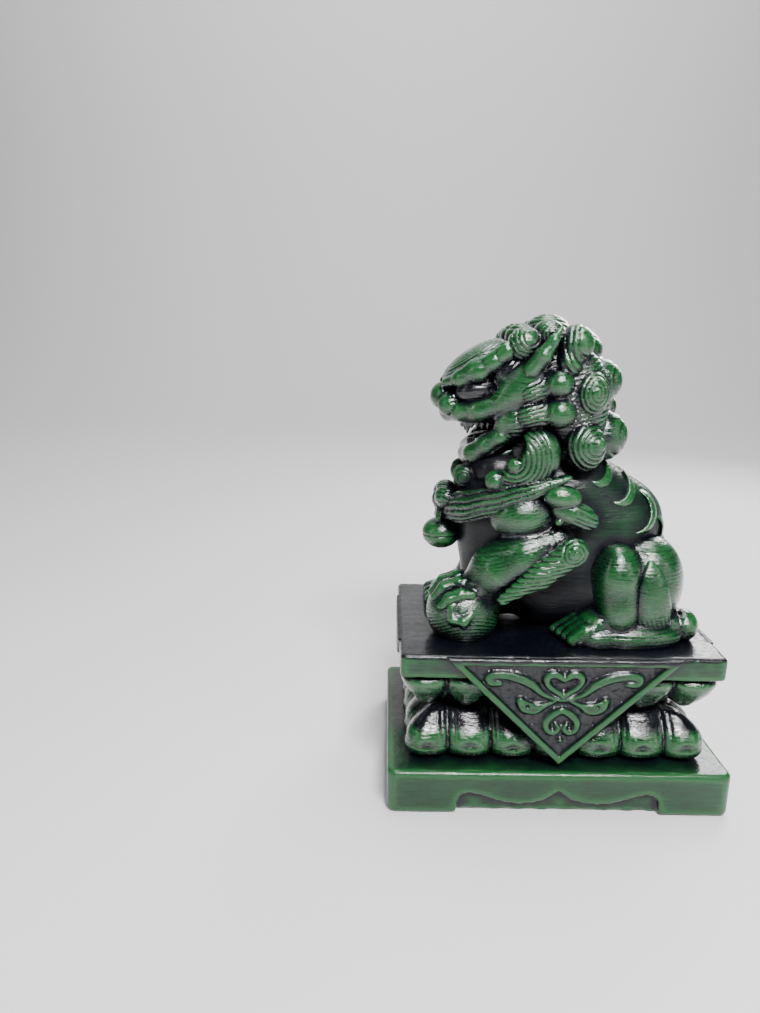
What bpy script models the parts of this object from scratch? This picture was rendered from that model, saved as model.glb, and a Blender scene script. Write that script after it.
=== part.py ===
"""Guardian lion (foo dog) statue: a seated lion with its paw on a ball, on a lotus pedestal.

Lengths are in millimetres and turned into metres by mm(). The frame is +Z up with the origin at the
middle of the underside; the lion faces -X, and its left side, with the ball, faces -Y.

The statue is built up like a workshop piece: the pedestal is a stack of courses with tenons, and the
lion is a body with limbs, a head and applied ornaments. Each piece is sculpted from balls that a voxel
remesh melts together, then cut back from its neighbours so that a glue line is left between them.
"""

import math

import bmesh
import bpy
from mathutils import Matrix, Vector

# Driving dimensions of the pedestal
PLINTH_LENGTH, PLINTH_DEPTH, PLINTH_HEIGHT = 113.0, 78.0, 15.0
SLAB_LENGTH, SLAB_DEPTH, SLAB_HEIGHT = 105.0, 68.6, 8.0
LOWER_COURSE_LENGTH, LOWER_COURSE_DEPTH, LOWER_COURSE_HEIGHT = 101.0, 65.6, 15.0
UPPER_COURSE_LENGTH, UPPER_COURSE_DEPTH, UPPER_COURSE_HEIGHT = 103.0, 67.0, 15.1
WAIST_INSET = 7.0
LONG_PETALS, SHORT_PETALS = 7, 5
DRAPE_THICKNESS, DRAPE_FRAME, DRAPE_RELIEF = 1.8, 2.5, 0.7
LONG_DRAPE_WIDTH, LONG_DRAPE_DROP = 76.0, 37.6
SHORT_DRAPE_WIDTH, SHORT_DRAPE_DROP = 44.0, 15.0
TENON_LENGTH, TENON_DEPTH, TENON_HEIGHT = 60.0, 30.0, 2.0

# Joints between pieces
GLUE_LINE = 0.5
FIT_CLEARANCE = 0.3

# Levels, worked out from the courses
LOWER_COURSE_BASE = PLINTH_HEIGHT + FIT_CLEARANCE
UPPER_COURSE_BASE = LOWER_COURSE_BASE + LOWER_COURSE_HEIGHT + FIT_CLEARANCE
SLAB_BASE = UPPER_COURSE_BASE + UPPER_COURSE_HEIGHT + FIT_CLEARANCE
SLAB_TOP = SLAB_BASE + SLAB_HEIGHT
LION_FLOOR = SLAB_TOP + FIT_CLEARANCE

# Lion: places are measured from the slab's top, along the lion's length and out from its middle plane
BALL_RADII = (12.4, 12.0, 12.0)
BALL_CENTRE = (-31.0, -14.0, 8.0)
COARSE_VOXEL, FINE_VOXEL = 1.3, 0.8

GREEN, DARK_GREEN, BLACK = (0.03, 0.16, 0.05), (0.015, 0.07, 0.03), (0.01, 0.012, 0.016)


def mm(value):
    """Millimetres to metres, for a number or a point."""
    return value / 1000 if isinstance(value, (int, float)) else Vector(value) / 1000


def clear_scene():
    for old in list(bpy.data.objects):
        bpy.data.objects.remove(old)


def paint(name, colour, roughness=0.3):
    """A gloss paint of one colour."""
    made = bpy.data.materials.get(name) or bpy.data.materials.new(name)
    made.use_nodes = True
    shader = made.node_tree.nodes["Principled BSDF"]
    shader.inputs["Base Color"].default_value = (*colour, 1)
    shader.inputs["Roughness"].default_value = roughness
    shader.inputs["Metallic"].default_value = 0
    return made


def object_of(name, bm):
    """A linked object that holds bm's mesh."""
    mesh = bpy.data.meshes.new(name)
    bm.to_mesh(mesh)
    bm.free()
    made = bpy.data.objects.new(name, mesh)
    bpy.context.scene.collection.objects.link(made)
    return made


def apply_modifiers(obj):
    """Bakes the modifiers into the object's own mesh."""
    bpy.context.view_layer.update()
    evaluated = obj.evaluated_get(bpy.context.evaluated_depsgraph_get())
    mesh = bpy.data.meshes.new_from_object(evaluated)
    obj.modifiers.clear()
    obj.data = mesh


def volume_if_closed(mesh):
    """The mesh's volume, or zero where it is empty or has an open or crowded edge."""
    bm = bmesh.new()
    bm.from_mesh(mesh)
    closed = bool(bm.faces) and all(len(edge.link_faces) == 2 for edge in bm.edges)
    volume = bm.calc_volume(signed=True) if closed else 0.0
    bm.free()
    return volume


def combine(obj, other, operation):
    """Boolean of obj with other, which is used up. The second solver is for cuts the first can't make."""
    before = obj.data.copy()
    start_volume = volume_if_closed(before)
    best_volume, best = 0.0, before
    for solver in ("EXACT", "MANIFOLD"):
        obj.data = before.copy()
        boolean = obj.modifiers.new(operation, "BOOLEAN")
        boolean.operation = operation
        boolean.solver = solver
        boolean.object = other
        apply_modifiers(obj)
        volume = volume_if_closed(obj.data)
        if operation == "DIFFERENCE" and volume > start_volume * 1.0001:
            continue
        if volume > best_volume:
            best_volume, best = volume, obj.data
        if volume > 0.25 * start_volume:
            break
    obj.data = best
    bpy.data.objects.remove(other)


def box(name, low, high, bevel=0.0, corner=0.0):
    """A box between two corners, its upright edges rounded by corner and the others by bevel."""
    bm = bmesh.new()
    size = [b - a for a, b in zip(low, high)]
    middle = [(a + b) / 2 for a, b in zip(low, high)]
    place = Matrix.Translation(mm(middle)) @ Matrix.Diagonal((*mm(size), 1))
    bmesh.ops.create_cube(bm, size=1, matrix=place)
    if corner:
        upright = [e for e in bm.edges if abs(e.verts[0].co.z - e.verts[1].co.z) > 1e-6]
        bmesh.ops.bevel(bm, geom=upright, offset=mm(corner), segments=4, affect="EDGES", profile=0.5)
    if bevel:
        level = mm(high[2])
        rim = [e for e in bm.edges if all(abs(v.co.z - level) < 1e-6 for v in e.verts)]
        bmesh.ops.bevel(bm, geom=rim, offset=mm(bevel), segments=2, affect="EDGES", profile=0.5)
    return object_of(name, bm)


def prism(name, outline, matrix, thickness):
    """An outline in the XY plane, extruded by thickness along +Z, then placed by matrix."""
    bm = bmesh.new()
    face = bm.faces.new([bm.verts.new(mm((x, y, 0))) for x, y in outline])
    raised = bmesh.ops.extrude_face_region(bm, geom=[face])["geom"]
    far_side = [item for item in raised if isinstance(item, bmesh.types.BMVert)]
    bmesh.ops.translate(bm, vec=(0, 0, mm(thickness)), verts=far_side)
    bmesh.ops.recalc_face_normals(bm, faces=bm.faces)
    bmesh.ops.transform(bm, matrix=matrix, verts=bm.verts)
    return object_of(name, bm)


def facing(side, distance):
    """Places an XY outline upright on a side of the pedestal: 0 is -Y, then each quarter turn to the right."""
    turn = Matrix.Rotation(side * math.pi / 2, 4, "Z")
    return turn @ Matrix.Translation(mm((0, -distance, 0))) @ Matrix.Rotation(math.pi / 2, 4, "X")


# ---------------------------------------------------------------- sculpting


def ball(x, y, z, rx, ry, rz, turn=0.0, about="Y"):
    """One ball of clay, measured from the slab's top: centre, radii and its turn in degrees."""
    return (x, y, z), (rx, ry, rz), turn, about


def limb(start, end, start_radius, end_radius, steps=6):
    """A tapering row of balls from start to end."""
    balls = []
    for step in range(steps + 1):
        t = step / steps
        at = [a + (b - a) * t for a, b in zip(start, end)]
        radius = start_radius + (end_radius - start_radius) * t
        balls.append(ball(*at, radius, radius, radius))
    return balls


def mirrored(balls):
    """The same balls on the lion's other side."""
    return [((c[0], -c[1], c[2]), r, turn if about == "Y" else -turn, about) for c, r, turn, about in balls]


def sculpt(name, balls, triangles, voxel=COARSE_VOXEL, base=SLAB_TOP):
    """The balls melted into one skin of about that many triangles."""
    bm = bmesh.new()
    for centre, radii, turn, about in balls:
        place = Matrix.Translation(mm(Vector(centre) + Vector((0, 0, base))))
        place = place @ Matrix.Rotation(math.radians(turn), 4, about) @ Matrix.Diagonal((*mm(radii), 1))
        bmesh.ops.create_icosphere(bm, subdivisions=3, radius=1, matrix=place)
    made = object_of(name, bm)
    melt = made.modifiers.new("melt", "REMESH")
    melt.mode = "VOXEL"
    melt.voxel_size = mm(voxel)
    smooth = made.modifiers.new("smooth", "SMOOTH")
    smooth.iterations = 2
    apply_modifiers(made)
    thin = made.modifiers.new("thin", "DECIMATE")
    thin.ratio = min(1.0, triangles / (2 * len(made.data.polygons)))
    apply_modifiers(made)
    return made


def grown(obj, gap):
    """A copy of the object whose skin stands gap further out, to cut a neighbour with."""
    copy = obj.copy()
    copy.data = obj.data.copy()
    bpy.context.scene.collection.objects.link(copy)
    swell = copy.modifiers.new("swell", "DISPLACE")
    swell.mid_level = 0
    swell.strength = mm(gap)
    apply_modifiers(copy)
    return copy


def boxes_meet(a, b, gap):
    """Whether two objects' boxes come within gap of each other."""
    first, second = ([v.co for v in o.data.vertices] for o in (a, b))
    for axis in range(3):
        low_a, high_a = min(p[axis] for p in first), max(p[axis] for p in first)
        low_b, high_b = min(p[axis] for p in second), max(p[axis] for p in second)
        if low_a > high_b + mm(gap) or low_b > high_a + mm(gap):
            return False
    return True


def keep_largest(obj):
    """Removes the crumbs that a cut leaves beside the main body."""
    bm = bmesh.new()
    bm.from_mesh(obj.data)
    bmesh.ops.remove_doubles(bm, verts=bm.verts, dist=mm(0.002))
    unseen, bodies = set(bm.verts), []
    while unseen:
        edge_of_search, body = [unseen.pop()], []
        while edge_of_search:
            vertex = edge_of_search.pop()
            body.append(vertex)
            for edge in vertex.link_edges:
                other = edge.other_vert(vertex)
                if other in unseen:
                    unseen.discard(other)
                    edge_of_search.append(other)
        bodies.append(body)
    bodies.sort(key=len)
    for body in bodies[:-1]:
        bmesh.ops.delete(bm, geom=body, context="VERTS")
    bmesh.ops.triangulate(bm, faces=bm.faces)
    bm.to_mesh(obj.data)
    bm.free()


class Assembly:
    """The finished pieces. Each new one is cut back from those already there."""

    def __init__(self):
        self.pieces = []

    def add(self, obj, material, fit=True, gap=GLUE_LINE):
        if fit:
            for other in self.pieces:
                if boxes_meet(obj, other, gap):
                    combine(obj, grown(other, gap), "DIFFERENCE")
            keep_largest(obj)
        obj.data.materials.clear()
        obj.data.materials.append(material)
        obj.data.shade_smooth()
        obj.data.set_sharp_from_angle(angle=math.radians(40))
        self.pieces.append(obj)
        return obj

    def add_pair(self, name, balls, triangles, material, voxel=COARSE_VOXEL):
        """A left piece, on the -Y side, and its mirror image."""
        self.add(sculpt("left_" + name, balls, triangles, voxel), material)
        self.add(sculpt("right_" + name, mirrored(balls), triangles, voxel), material)


# ---------------------------------------------------------------- pedestal


def tenon(name, level, slack=0.0):
    """The block that locates one course in the next; with slack it is the pocket's cutter."""
    half = (TENON_LENGTH / 2 + slack, TENON_DEPTH / 2 + slack)
    return box(name, (-half[0], -half[1], level - 1), (half[0], half[1], level + TENON_HEIGHT + slack))


def arch_outline(half_width):
    """The bracket-foot recess seen from its side: a lobe at each end, a shallow middle and a pointed peak."""
    lobe, shallow, peak = 7.4, 3.6, 8.6
    points = [(-half_width, -1.0), (-half_width, 2.5)]
    for share in (-0.94, -0.86, -0.74, -0.6, -0.42, -0.2, -0.07, 0, 0.07, 0.2, 0.42, 0.6, 0.74, 0.86, 0.94):
        near_end = max(0.0, (abs(share) - 0.45) / 0.55)
        rise = shallow + (lobe - shallow) * math.sin(math.pi * min(1.0, near_end * 0.78)) ** 1.2
        rise += (peak - shallow) * max(0.0, 1 - abs(share) / 0.2) ** 1.6
        points.append((share * half_width, rise))
    points += [(half_width, 2.5), (half_width, -1.0)]
    return points[::-1]


def make_plinth():
    half = (PLINTH_LENGTH / 2, PLINTH_DEPTH / 2)
    plinth = box("plinth", (-half[0], -half[1], 0), (half[0], half[1], PLINTH_HEIGHT), bevel=1.4, corner=3.0)
    recess_depth = 2.4
    for side in range(4):
        across = half[1] if side % 2 == 0 else half[0]
        half_width = 33.0 if side % 2 == 0 else 19.0
        place = facing(side, across - recess_depth)
        combine(plinth, prism("arch", arch_outline(half_width), place, recess_depth + 2), "DIFFERENCE")
    combine(plinth, tenon("tenon", PLINTH_HEIGHT), "UNION")
    return plinth


def petal(along, out, pitch, height, upward, turned):
    """The balls of one petal: a pillow with its fat end down, or a hanging bud with its wide end up."""
    parts = [(0.52, 0.36, 0.45)] if upward else [(0.5, 0.72, 0.26), (0.36, 0.5, 0.32)]
    balls = []
    for share, level, tall in parts:
        x, y = (out, along) if turned else (along, out)
        rx, ry = (5.0, pitch * share) if turned else (pitch * share, 5.0)
        balls.append(ball(x, y, height * level, rx, ry, height * tall))
    return balls


def petal_row(name, size, base, upward, triangles):
    """A course of bulging petals round a core that is as narrow as the waist."""
    half = (size[0] / 2, size[1] / 2)
    balls = []
    for half_side, half_other, count, turned in (
        (half[0], half[1], LONG_PETALS, False),
        (half[1], half[0], SHORT_PETALS, True),
    ):
        pitch = 2 * half_side / count
        for index in range(count):
            along = -half_side + pitch * (index + 0.5)
            for sign in (-1, 1):
                balls += petal(along, sign * (half_other - 5.0), pitch, size[2], upward, turned)
    row = sculpt(name, balls, triangles, COARSE_VOXEL, base)
    inset = (half[0] - WAIST_INSET, half[1] - WAIST_INSET)
    core = box("core", (-inset[0], -inset[1], base), (inset[0], inset[1], base + size[2]), corner=3.0)
    combine(core, row, "UNION")
    core.name = name
    for low, high in ((base - 20, base), (base + size[2], base + size[2] + 20)):
        combine(core, box("trim", (-70, -70, low), (70, 70, high)), "DIFFERENCE")
    keep_largest(core)
    return core


def stroke(points, width):
    """The outline of a carved stroke along points, pointed at both ends."""
    left, right = [], []
    for index in range(1, len(points) - 1):
        before, after = points[index - 1], points[index + 1]
        length = math.hypot(after[0] - before[0], after[1] - before[1])
        across = (-(after[1] - before[1]) / length, (after[0] - before[0]) / length)
        for edge, sign in ((left, 0.5), (right, -0.5)):
            step = [sign * width * part for part in across]
            edge.append((points[index][0] + step[0], points[index][1] + step[1]))
    return [points[0], *right, points[-1], *left[::-1]]


def scroll_outlines(width, drop):
    """The cloth's carved scrollwork, as outlines below its top edge."""
    heart = [(0, -12.6), (3.6, -9.2), (4.6, -6.4), (2.8, -4.6), (0, -6.0)]
    heart += [(-x, y) for x, y in reversed(heart[1:-1])]
    spade = [(0, -19), (2.6, -20.4), (4.2, -23.4), (2.6, -26), (0, -25)]
    spade += [(-x, y) for x, y in reversed(spade[1:-1])]
    leaf = stroke([(2.2, -15.4), (8, -12.2), (13.4, -9.6), (18.6, -6.2), (24.2, -5.4)], 2.6)
    comma = stroke([(1.6, -17.2), (6.4, -16.6), (10.4, -18.2), (12.4, -15.4)], 2.4)
    tip = [(0, -27.4), (1.5, -29), (0, -30.8), (-1.5, -29)]
    scale = (width / LONG_DRAPE_WIDTH, drop / LONG_DRAPE_DROP)
    outlines = [heart[::-1], spade[::-1], tip[::-1]]
    for shape in (leaf, comma):
        outlines.append(shape)
        outlines.append([(-x, y) for x, y in reversed(shape)])
    return [[(x * scale[0], y * scale[1] + SLAB_TOP) for x, y in shape] for shape in outlines]


def make_drape(name, side):
    """One corner of the cloth that lies diagonally over the slab and hangs down a side."""
    long_side = side % 2 == 0
    width, drop = LONG_DRAPE_WIDTH, LONG_DRAPE_DROP
    if not long_side:
        width, drop = SHORT_DRAPE_WIDTH, SHORT_DRAPE_DROP
    face = (SLAB_DEPTH if long_side else SLAB_LENGTH) / 2 + FIT_CLEARANCE
    outline = [(0, SLAB_TOP - drop), (width / 2, SLAB_TOP), (-width / 2, SLAB_TOP)]
    drape = prism(name, outline, facing(side, face), DRAPE_THICKNESS)
    slope = math.atan2(drop, width / 2)
    inner_top = SLAB_TOP - DRAPE_FRAME
    inner_drop = drop - DRAPE_FRAME / math.cos(slope)
    inner_half = (inner_drop - DRAPE_FRAME) / math.tan(slope)
    inner = [(0, SLAB_TOP - inner_drop), (inner_half, inner_top), (-inner_half, inner_top)]
    floor = face + DRAPE_THICKNESS - DRAPE_RELIEF
    combine(drape, prism("field", inner, facing(side, floor), 3), "DIFFERENCE")
    for index, shape in enumerate(scroll_outlines(width, drop) if long_side else []):
        height = DRAPE_RELIEF + 0.2 - 0.03 * index
        combine(drape, prism("scroll", shape, facing(side, floor - 0.3), height), "UNION")
    keep_largest(drape)
    return drape


def build_pedestal(assembly, green, dark):
    plinth = make_plinth()
    size = (LOWER_COURSE_LENGTH, LOWER_COURSE_DEPTH, LOWER_COURSE_HEIGHT)
    lower = petal_row("lotus_lower_course", size, LOWER_COURSE_BASE, True, 760)
    combine(lower, tenon("pocket", PLINTH_HEIGHT, FIT_CLEARANCE), "DIFFERENCE")
    combine(lower, tenon("tenon", UPPER_COURSE_BASE - FIT_CLEARANCE), "UNION")
    size = (UPPER_COURSE_LENGTH, UPPER_COURSE_DEPTH, UPPER_COURSE_HEIGHT)
    upper = petal_row("lotus_upper_course", size, UPPER_COURSE_BASE, False, 760)
    combine(upper, tenon("pocket", UPPER_COURSE_BASE - FIT_CLEARANCE, FIT_CLEARANCE), "DIFFERENCE")
    combine(upper, tenon("tenon", SLAB_BASE - FIT_CLEARANCE), "UNION")
    half = (SLAB_LENGTH / 2, SLAB_DEPTH / 2)
    low, high = (-half[0], -half[1], SLAB_BASE), (half[0], half[1], SLAB_TOP)
    slab = box("table_slab", low, high, bevel=1.0, corner=1.5)
    combine(slab, tenon("pocket", SLAB_BASE - FIT_CLEARANCE, FIT_CLEARANCE), "DIFFERENCE")
    for piece, material in ((plinth, green), (lower, green), (upper, green), (slab, dark)):
        assembly.add(piece, material, fit=False)
    for side, name in enumerate(("left_drape", "rear_drape", "right_drape", "front_drape")):
        assembly.add(make_drape(name, side), green)


# ---------------------------------------------------------------- lion


def build_collar(assembly, green):
    """The ball under the paw, then the bell, its knot and the open collar they hang from."""
    assembly.add(sculpt("ball", [ball(*BALL_CENTRE, *BALL_RADII)], 320), green)
    assembly.add(sculpt("bell", [ball(-38.8, 0, 31.2, 5.9, 5.9, 5.7)], 200, FINE_VOXEL), green)
    knot = [ball(-38.5, 0, 42.5, 3.8, 5, 3.4), ball(-38.5, 0, 38, 2.8, 3.2, 3)]
    knot += [ball(-37, y, 44, 3.4, 3.4, 3) for y in (-5.5, 5.5)]
    assembly.add(sculpt("collar_knot", knot, 180, FINE_VOXEL), green)
    band = []
    for step in range(-22, 23):
        angle = math.radians(105) * step / 22
        forward = math.cos(angle)
        band.append(ball(-10 - 25 * forward, 20 * math.sin(angle), 48 - 4.6 * forward, 3, 3, 4.4))
    assembly.add(sculpt("collar", band, 360, FINE_VOXEL), green)


def build_body(assembly, green):
    """The torso and the limbs with their applied tufts."""
    torso = [
        ball(18, 0, 17, 25, 20, 19),
        ball(12, 0, 35, 28, 18, 21, 10),
        ball(2, 0, 48, 21, 16, 15),
        ball(-12, 0, 31, 20.5, 16, 19),
        ball(3, 0, 12, 20, 15, 12),
        ball(-18, 0, 46, 18, 16, 9),
    ]
    assembly.add(sculpt("torso", torso, 520), green)
    haunch = [
        ball(27, -17, 17, 16.5, 10.5, 17.5),
        ball(16, -22, 18, 8, 8, 15.5),
        *limb((27, -22, 4.5), (3, -23, 4), 6, 5),
        *[ball(-1, -15.5 - 4.2 * toe, 3.4, 5.5, 2.6, 3.6) for toe in range(4)],
        ball(45, -18, 4.5, 6, 6, 6.5),
        ball(37, -18, 5, 9, 6, 6),
    ]
    assembly.add_pair("hind_leg", haunch, 380, green)
    ball_leg = [
        ball(-12, -17, 43, 10, 8.5, 10.5),
        ball(-3, -20, 37, 9.5, 8, 8.5),
        *limb((0, -22, 32), (-24, -19.5, 20), 7.6, 6.2),
        ball(-30, -18, 21.5, 9, 8.5, 5.5),
        *[ball(-38, -25 + 4.6 * toe, 18, 4.6, 2.7, 5, -35) for toe in range(4)],
    ]
    assembly.add(sculpt("left_foreleg", ball_leg, 380), green)
    standing_leg = [
        ball(-12, 17, 43, 10, 8.5, 10.5),
        *limb((-11, 18, 38), (-25, 17, 8), 9, 6.8),
        ball(-31, 17, 4.5, 11, 8.5, 5.5),
        *[ball(-39, 10.5 + 4.4 * toe, 3.2, 5, 2.7, 3.6) for toe in range(4)],
    ]
    assembly.add(sculpt("right_foreleg", standing_leg, 340), green)
    thigh_tuft = limb((25, -28.5, 30), (33, -26.5, 7), 3.4, 4.4, 7)
    assembly.add_pair("thigh_tuft", thigh_tuft, 130, green, FINE_VOXEL)
    elbow_tuft = limb((2, -30, 34), (-17, -27.5, 18.5), 4.4, 2.2, 7)
    assembly.add(sculpt("left_elbow_tuft", elbow_tuft, 150, FINE_VOXEL), green)
    rear_tuft = limb((-1, 26.5, 36), (-15, 24, 13), 4.4, 2.2, 7)
    assembly.add(sculpt("right_elbow_tuft", rear_tuft, 150, FINE_VOXEL), green)
    shoulder_tuft = [ball(-1, -24, 50, 6.5, 4, 4.2, 10), ball(2.5, -24.5, 44, 8.5, 3.6, 4, 20)]
    assembly.add_pair("shoulder_tuft", shoulder_tuft, 120, green, FINE_VOXEL)
    ridge = [ball(25, 0, 50, 8, 8, 6, 45), ball(32.5, 0, 41.5, 8, 8, 6, 55), ball(37, 0, 31.5, 8, 8, 6, 68)]
    assembly.add(sculpt("spine_ridge", ridge, 150, FINE_VOXEL), green)
    tail = [ball(42, 0, 9, 5, 7, 9), ball(43, 0, 19, 4, 6, 10, -4), ball(40, 0, 27, 4, 4, 7, -14)]
    assembly.add(sculpt("tail", tail, 140, FINE_VOXEL), green)


def build_head(assembly, green, dark):
    """The head with its open mouth, brow, nose and ears."""
    for sign, name in ((-1, "left_eye"), (1, "right_eye")):
        assembly.add(sculpt(name, [ball(-28, sign * 9.6, 83.4, 6.2, 4.8, 4.4)], 140, FINE_VOXEL), dark)
    for name, level, reach in (("upper_teeth", 69.3, 0), ("lower_teeth", 64.8, 2.5)):
        teeth = []
        for step in range(-6, 7):
            angle = math.radians(78) * step / 6
            at = (-22 + reach - 10.5 * math.cos(angle), 6.6 * math.sin(angle))
            teeth.append(ball(*at, level, 1.5, 1.5, 2.6 if abs(step) in (2, 3) else 1.9))
        assembly.add(sculpt(name, teeth, 140, 0.6), green)
    head = [
        ball(0, 0, 80, 18, 17.5, 19),
        ball(-16, 0, 86, 14, 13.5, 10),
        ball(-25, 0, 76.5, 14, 11, 6.5),
        ball(-33, 0, 74, 7.5, 9.5, 5),
        ball(-14, -14, 77, 9, 5.5, 9),
        ball(-14, 14, 77, 9, 5.5, 9),
        ball(-7, 0, 62, 13, 13, 12),
    ]
    assembly.add(sculpt("head", head, 540), green)
    assembly.add(sculpt("tongue", [ball(-23.5, 0, 66.6, 7, 4, 1.5, 6)], 90, 0.6), dark)
    jaw = [
        ball(-18, 0, 60.5, 9, 10, 4.6, -16),
        *limb((-13, -10, 66), (-26, -5, 60), 4, 3.2, 4),
        *limb((-13, 10, 66), (-26, 5, 60), 4, 3.2, 4),
        ball(-26.5, 0, 59, 4, 6, 4),
    ]
    assembly.add(sculpt("lower_jaw", jaw, 220, FINE_VOXEL), green)
    nose = [ball(-40, 0, 79, 4, 5.5, 4.6), ball(-37, -6, 76, 4, 3.6, 3.6), ball(-37, 6, 76, 4, 3.6, 3.6)]
    assembly.add(sculpt("nose", nose, 170, FINE_VOXEL), green)
    crest = [
        ball(-28, 0, 91.6, 13, 12, 4.6, -33),
        ball(-25.5, -11.5, 89.8, 11.5, 5, 3.8, -27),
        ball(-25.5, 11.5, 89.8, 11.5, 5, 3.8, -27),
        ball(-18.5, -15, 94.5, 4.8, 4.4, 4.6),
        ball(-18.5, 15, 94.5, 4.8, 4.4, 4.6),
        ball(-38, 0, 86.2, 2.6, 4, 3),
    ]
    assembly.add(sculpt("brow_crest", crest, 280, FINE_VOXEL), green)
    ear = limb((-13, -20.5, 90), (-4.5, -20.5, 101), 4.2, 1.6, 6)
    assembly.add_pair("ear", ear, 120, green, FINE_VOXEL)


def build_mane(assembly, green):
    """The side, crown and back locks, each with its curls, then the beard."""
    side = [
        ball(-2, -15, 82, 9, 4, 14),
        ball(6, -13, 76, 9.5, 6.5, 17),
        ball(-15.5, -15.5, 98, 4.8, 4.6, 4.6),
        ball(-7, -15, 100, 4.8, 4.6, 4.2),
        ball(1, -16, 96, 6.2, 6, 6.2),
        ball(-5, -20, 86, 6, 4.6, 5),
        ball(-4, -20.5, 76.5, 6, 4.8, 5.2),
        ball(7, -17.5, 83.5, 6.2, 6.5, 7.4),
        ball(9.5, -18, 66.5, 7.4, 6.8, 8),
    ]
    assembly.add_pair("mane", side, 420, green, 1.1)
    crown = [ball(-5, 0, 100.6, 8, 8.6, 6.4), ball(4, 0, 95.5, 9, 10, 7)]
    crown += [ball(-14.5, y, 99.5, 5.4, 5, 4.6) for y in (-5.5, 5.5)]
    assembly.add(sculpt("crown_curls", crown, 200, 1.1), green)
    back = [ball(8, 0, 79, 10.5, 12, 17)]
    back += [ball(13, y, 85.5, 6.4, 6.4, 6.6) for y in (-8, 8)]
    back += [ball(15.5, y, 67.5, 6.4, 6.6, 7.2) for y in (-7.5, 7.5)]
    assembly.add(sculpt("back_curls", back, 240, 1.1), green)
    swirl = [ball(-8.5, -20.5, 63.4, 7, 4, 9.5, 18), ball(-13, -20.5, 57, 7, 4, 5)]
    swirl.append(ball(-21, -18, 54.2, 3.6, 3.8, 3.4))
    assembly.add_pair("beard_swirl", swirl, 160, green, FINE_VOXEL)
    beard = [ball(-25, 0, 53, 8, 8, 5.5)] + [ball(-31, y, 52.8, 3.4, 3.4, 3.8) for y in (-5.5, 5.5)]
    assembly.add(sculpt("chin_beard", beard, 160, FINE_VOXEL), green)


def main():
    clear_scene()
    green = paint("green_gloss_paint", GREEN)
    dark = paint("black_gloss_paint", BLACK, 0.35)
    assembly = Assembly()
    build_pedestal(assembly, green, dark)
    build_collar(assembly, green)
    build_body(assembly, green)
    build_head(assembly, green, dark)
    build_mane(assembly, green)


main()
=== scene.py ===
"""Looks of the guardian lion statue: hair lines, curls, petals and brushed green paint over black.

Each piece is sculpted as a distance field: balls and limbs are melted together, then lines are carved in,
and the field is turned into a skin of quads. Places are in millimetres. Those of the lion are measured
from the slab's top, along its length (it faces -X) and out from its middle plane (the ball is at -Y).
"""

import math

import bpy
import numpy as np
from mathutils import Matrix, Vector


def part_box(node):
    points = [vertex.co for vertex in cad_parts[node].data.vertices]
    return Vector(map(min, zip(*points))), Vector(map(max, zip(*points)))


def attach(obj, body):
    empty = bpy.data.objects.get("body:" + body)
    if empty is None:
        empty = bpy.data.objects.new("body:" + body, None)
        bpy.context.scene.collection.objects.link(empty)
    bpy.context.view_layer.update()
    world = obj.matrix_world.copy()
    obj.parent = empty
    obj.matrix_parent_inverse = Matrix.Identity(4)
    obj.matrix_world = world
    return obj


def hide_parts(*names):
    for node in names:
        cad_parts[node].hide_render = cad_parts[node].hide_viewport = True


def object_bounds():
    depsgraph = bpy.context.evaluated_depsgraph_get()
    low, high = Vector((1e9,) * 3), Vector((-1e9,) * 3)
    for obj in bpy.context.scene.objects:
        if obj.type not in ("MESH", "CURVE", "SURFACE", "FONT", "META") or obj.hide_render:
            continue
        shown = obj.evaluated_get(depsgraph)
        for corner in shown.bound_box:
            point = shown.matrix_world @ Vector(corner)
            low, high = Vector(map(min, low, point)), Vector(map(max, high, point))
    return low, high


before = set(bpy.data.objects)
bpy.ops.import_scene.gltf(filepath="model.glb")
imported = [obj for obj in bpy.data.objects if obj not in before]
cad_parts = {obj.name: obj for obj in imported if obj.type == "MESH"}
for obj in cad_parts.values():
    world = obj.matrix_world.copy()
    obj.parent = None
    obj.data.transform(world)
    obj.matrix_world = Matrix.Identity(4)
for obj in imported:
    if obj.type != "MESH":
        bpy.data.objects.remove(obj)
CAD_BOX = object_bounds()
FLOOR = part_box("table_slab")[1].z * 1000


# ---------------------------------------------------------------- distance fields


class Points:
    """Points of a grid or a mesh, in millimetres."""

    def __init__(self, x, y, z):
        self.x, self.y, self.z = x, y, z

    def mirror(self):
        return Points(self.x, -self.y, self.z)

    def folded(self):
        """Both halves laid over the left one, for a form that is the same on either side."""
        return Points(self.x, -np.abs(self.y), self.z)

    def about(self, centre, yaw=0.0, pitch=0.0):
        """The points seen from a centre, by axes turned about Z, then Y, in degrees."""
        x, y, z = self.x - centre[0], self.y - centre[1], self.z - centre[2]
        if yaw:
            c, s = math.cos(math.radians(yaw)), math.sin(math.radians(yaw))
            x, y = c * x + s * y, -s * x + c * y
        if pitch:
            c, s = math.cos(math.radians(pitch)), math.sin(math.radians(pitch))
            x, z = c * x - s * z, s * x + c * z
        return Points(x, y, z)


def egg(p, centre, radii, yaw=0.0, pitch=0.0):
    """An ellipsoid. A positive pitch lowers its +X end."""
    q = p.about(centre, yaw, pitch)
    near = np.sqrt((q.x / radii[0]) ** 2 + (q.y / radii[1]) ** 2 + (q.z / radii[2]) ** 2)
    slope = np.sqrt((q.x / radii[0] ** 2) ** 2 + (q.y / radii[1] ** 2) ** 2 + (q.z / radii[2] ** 2) ** 2)
    return near * (near - 1) / (slope + 1e-6)


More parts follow.
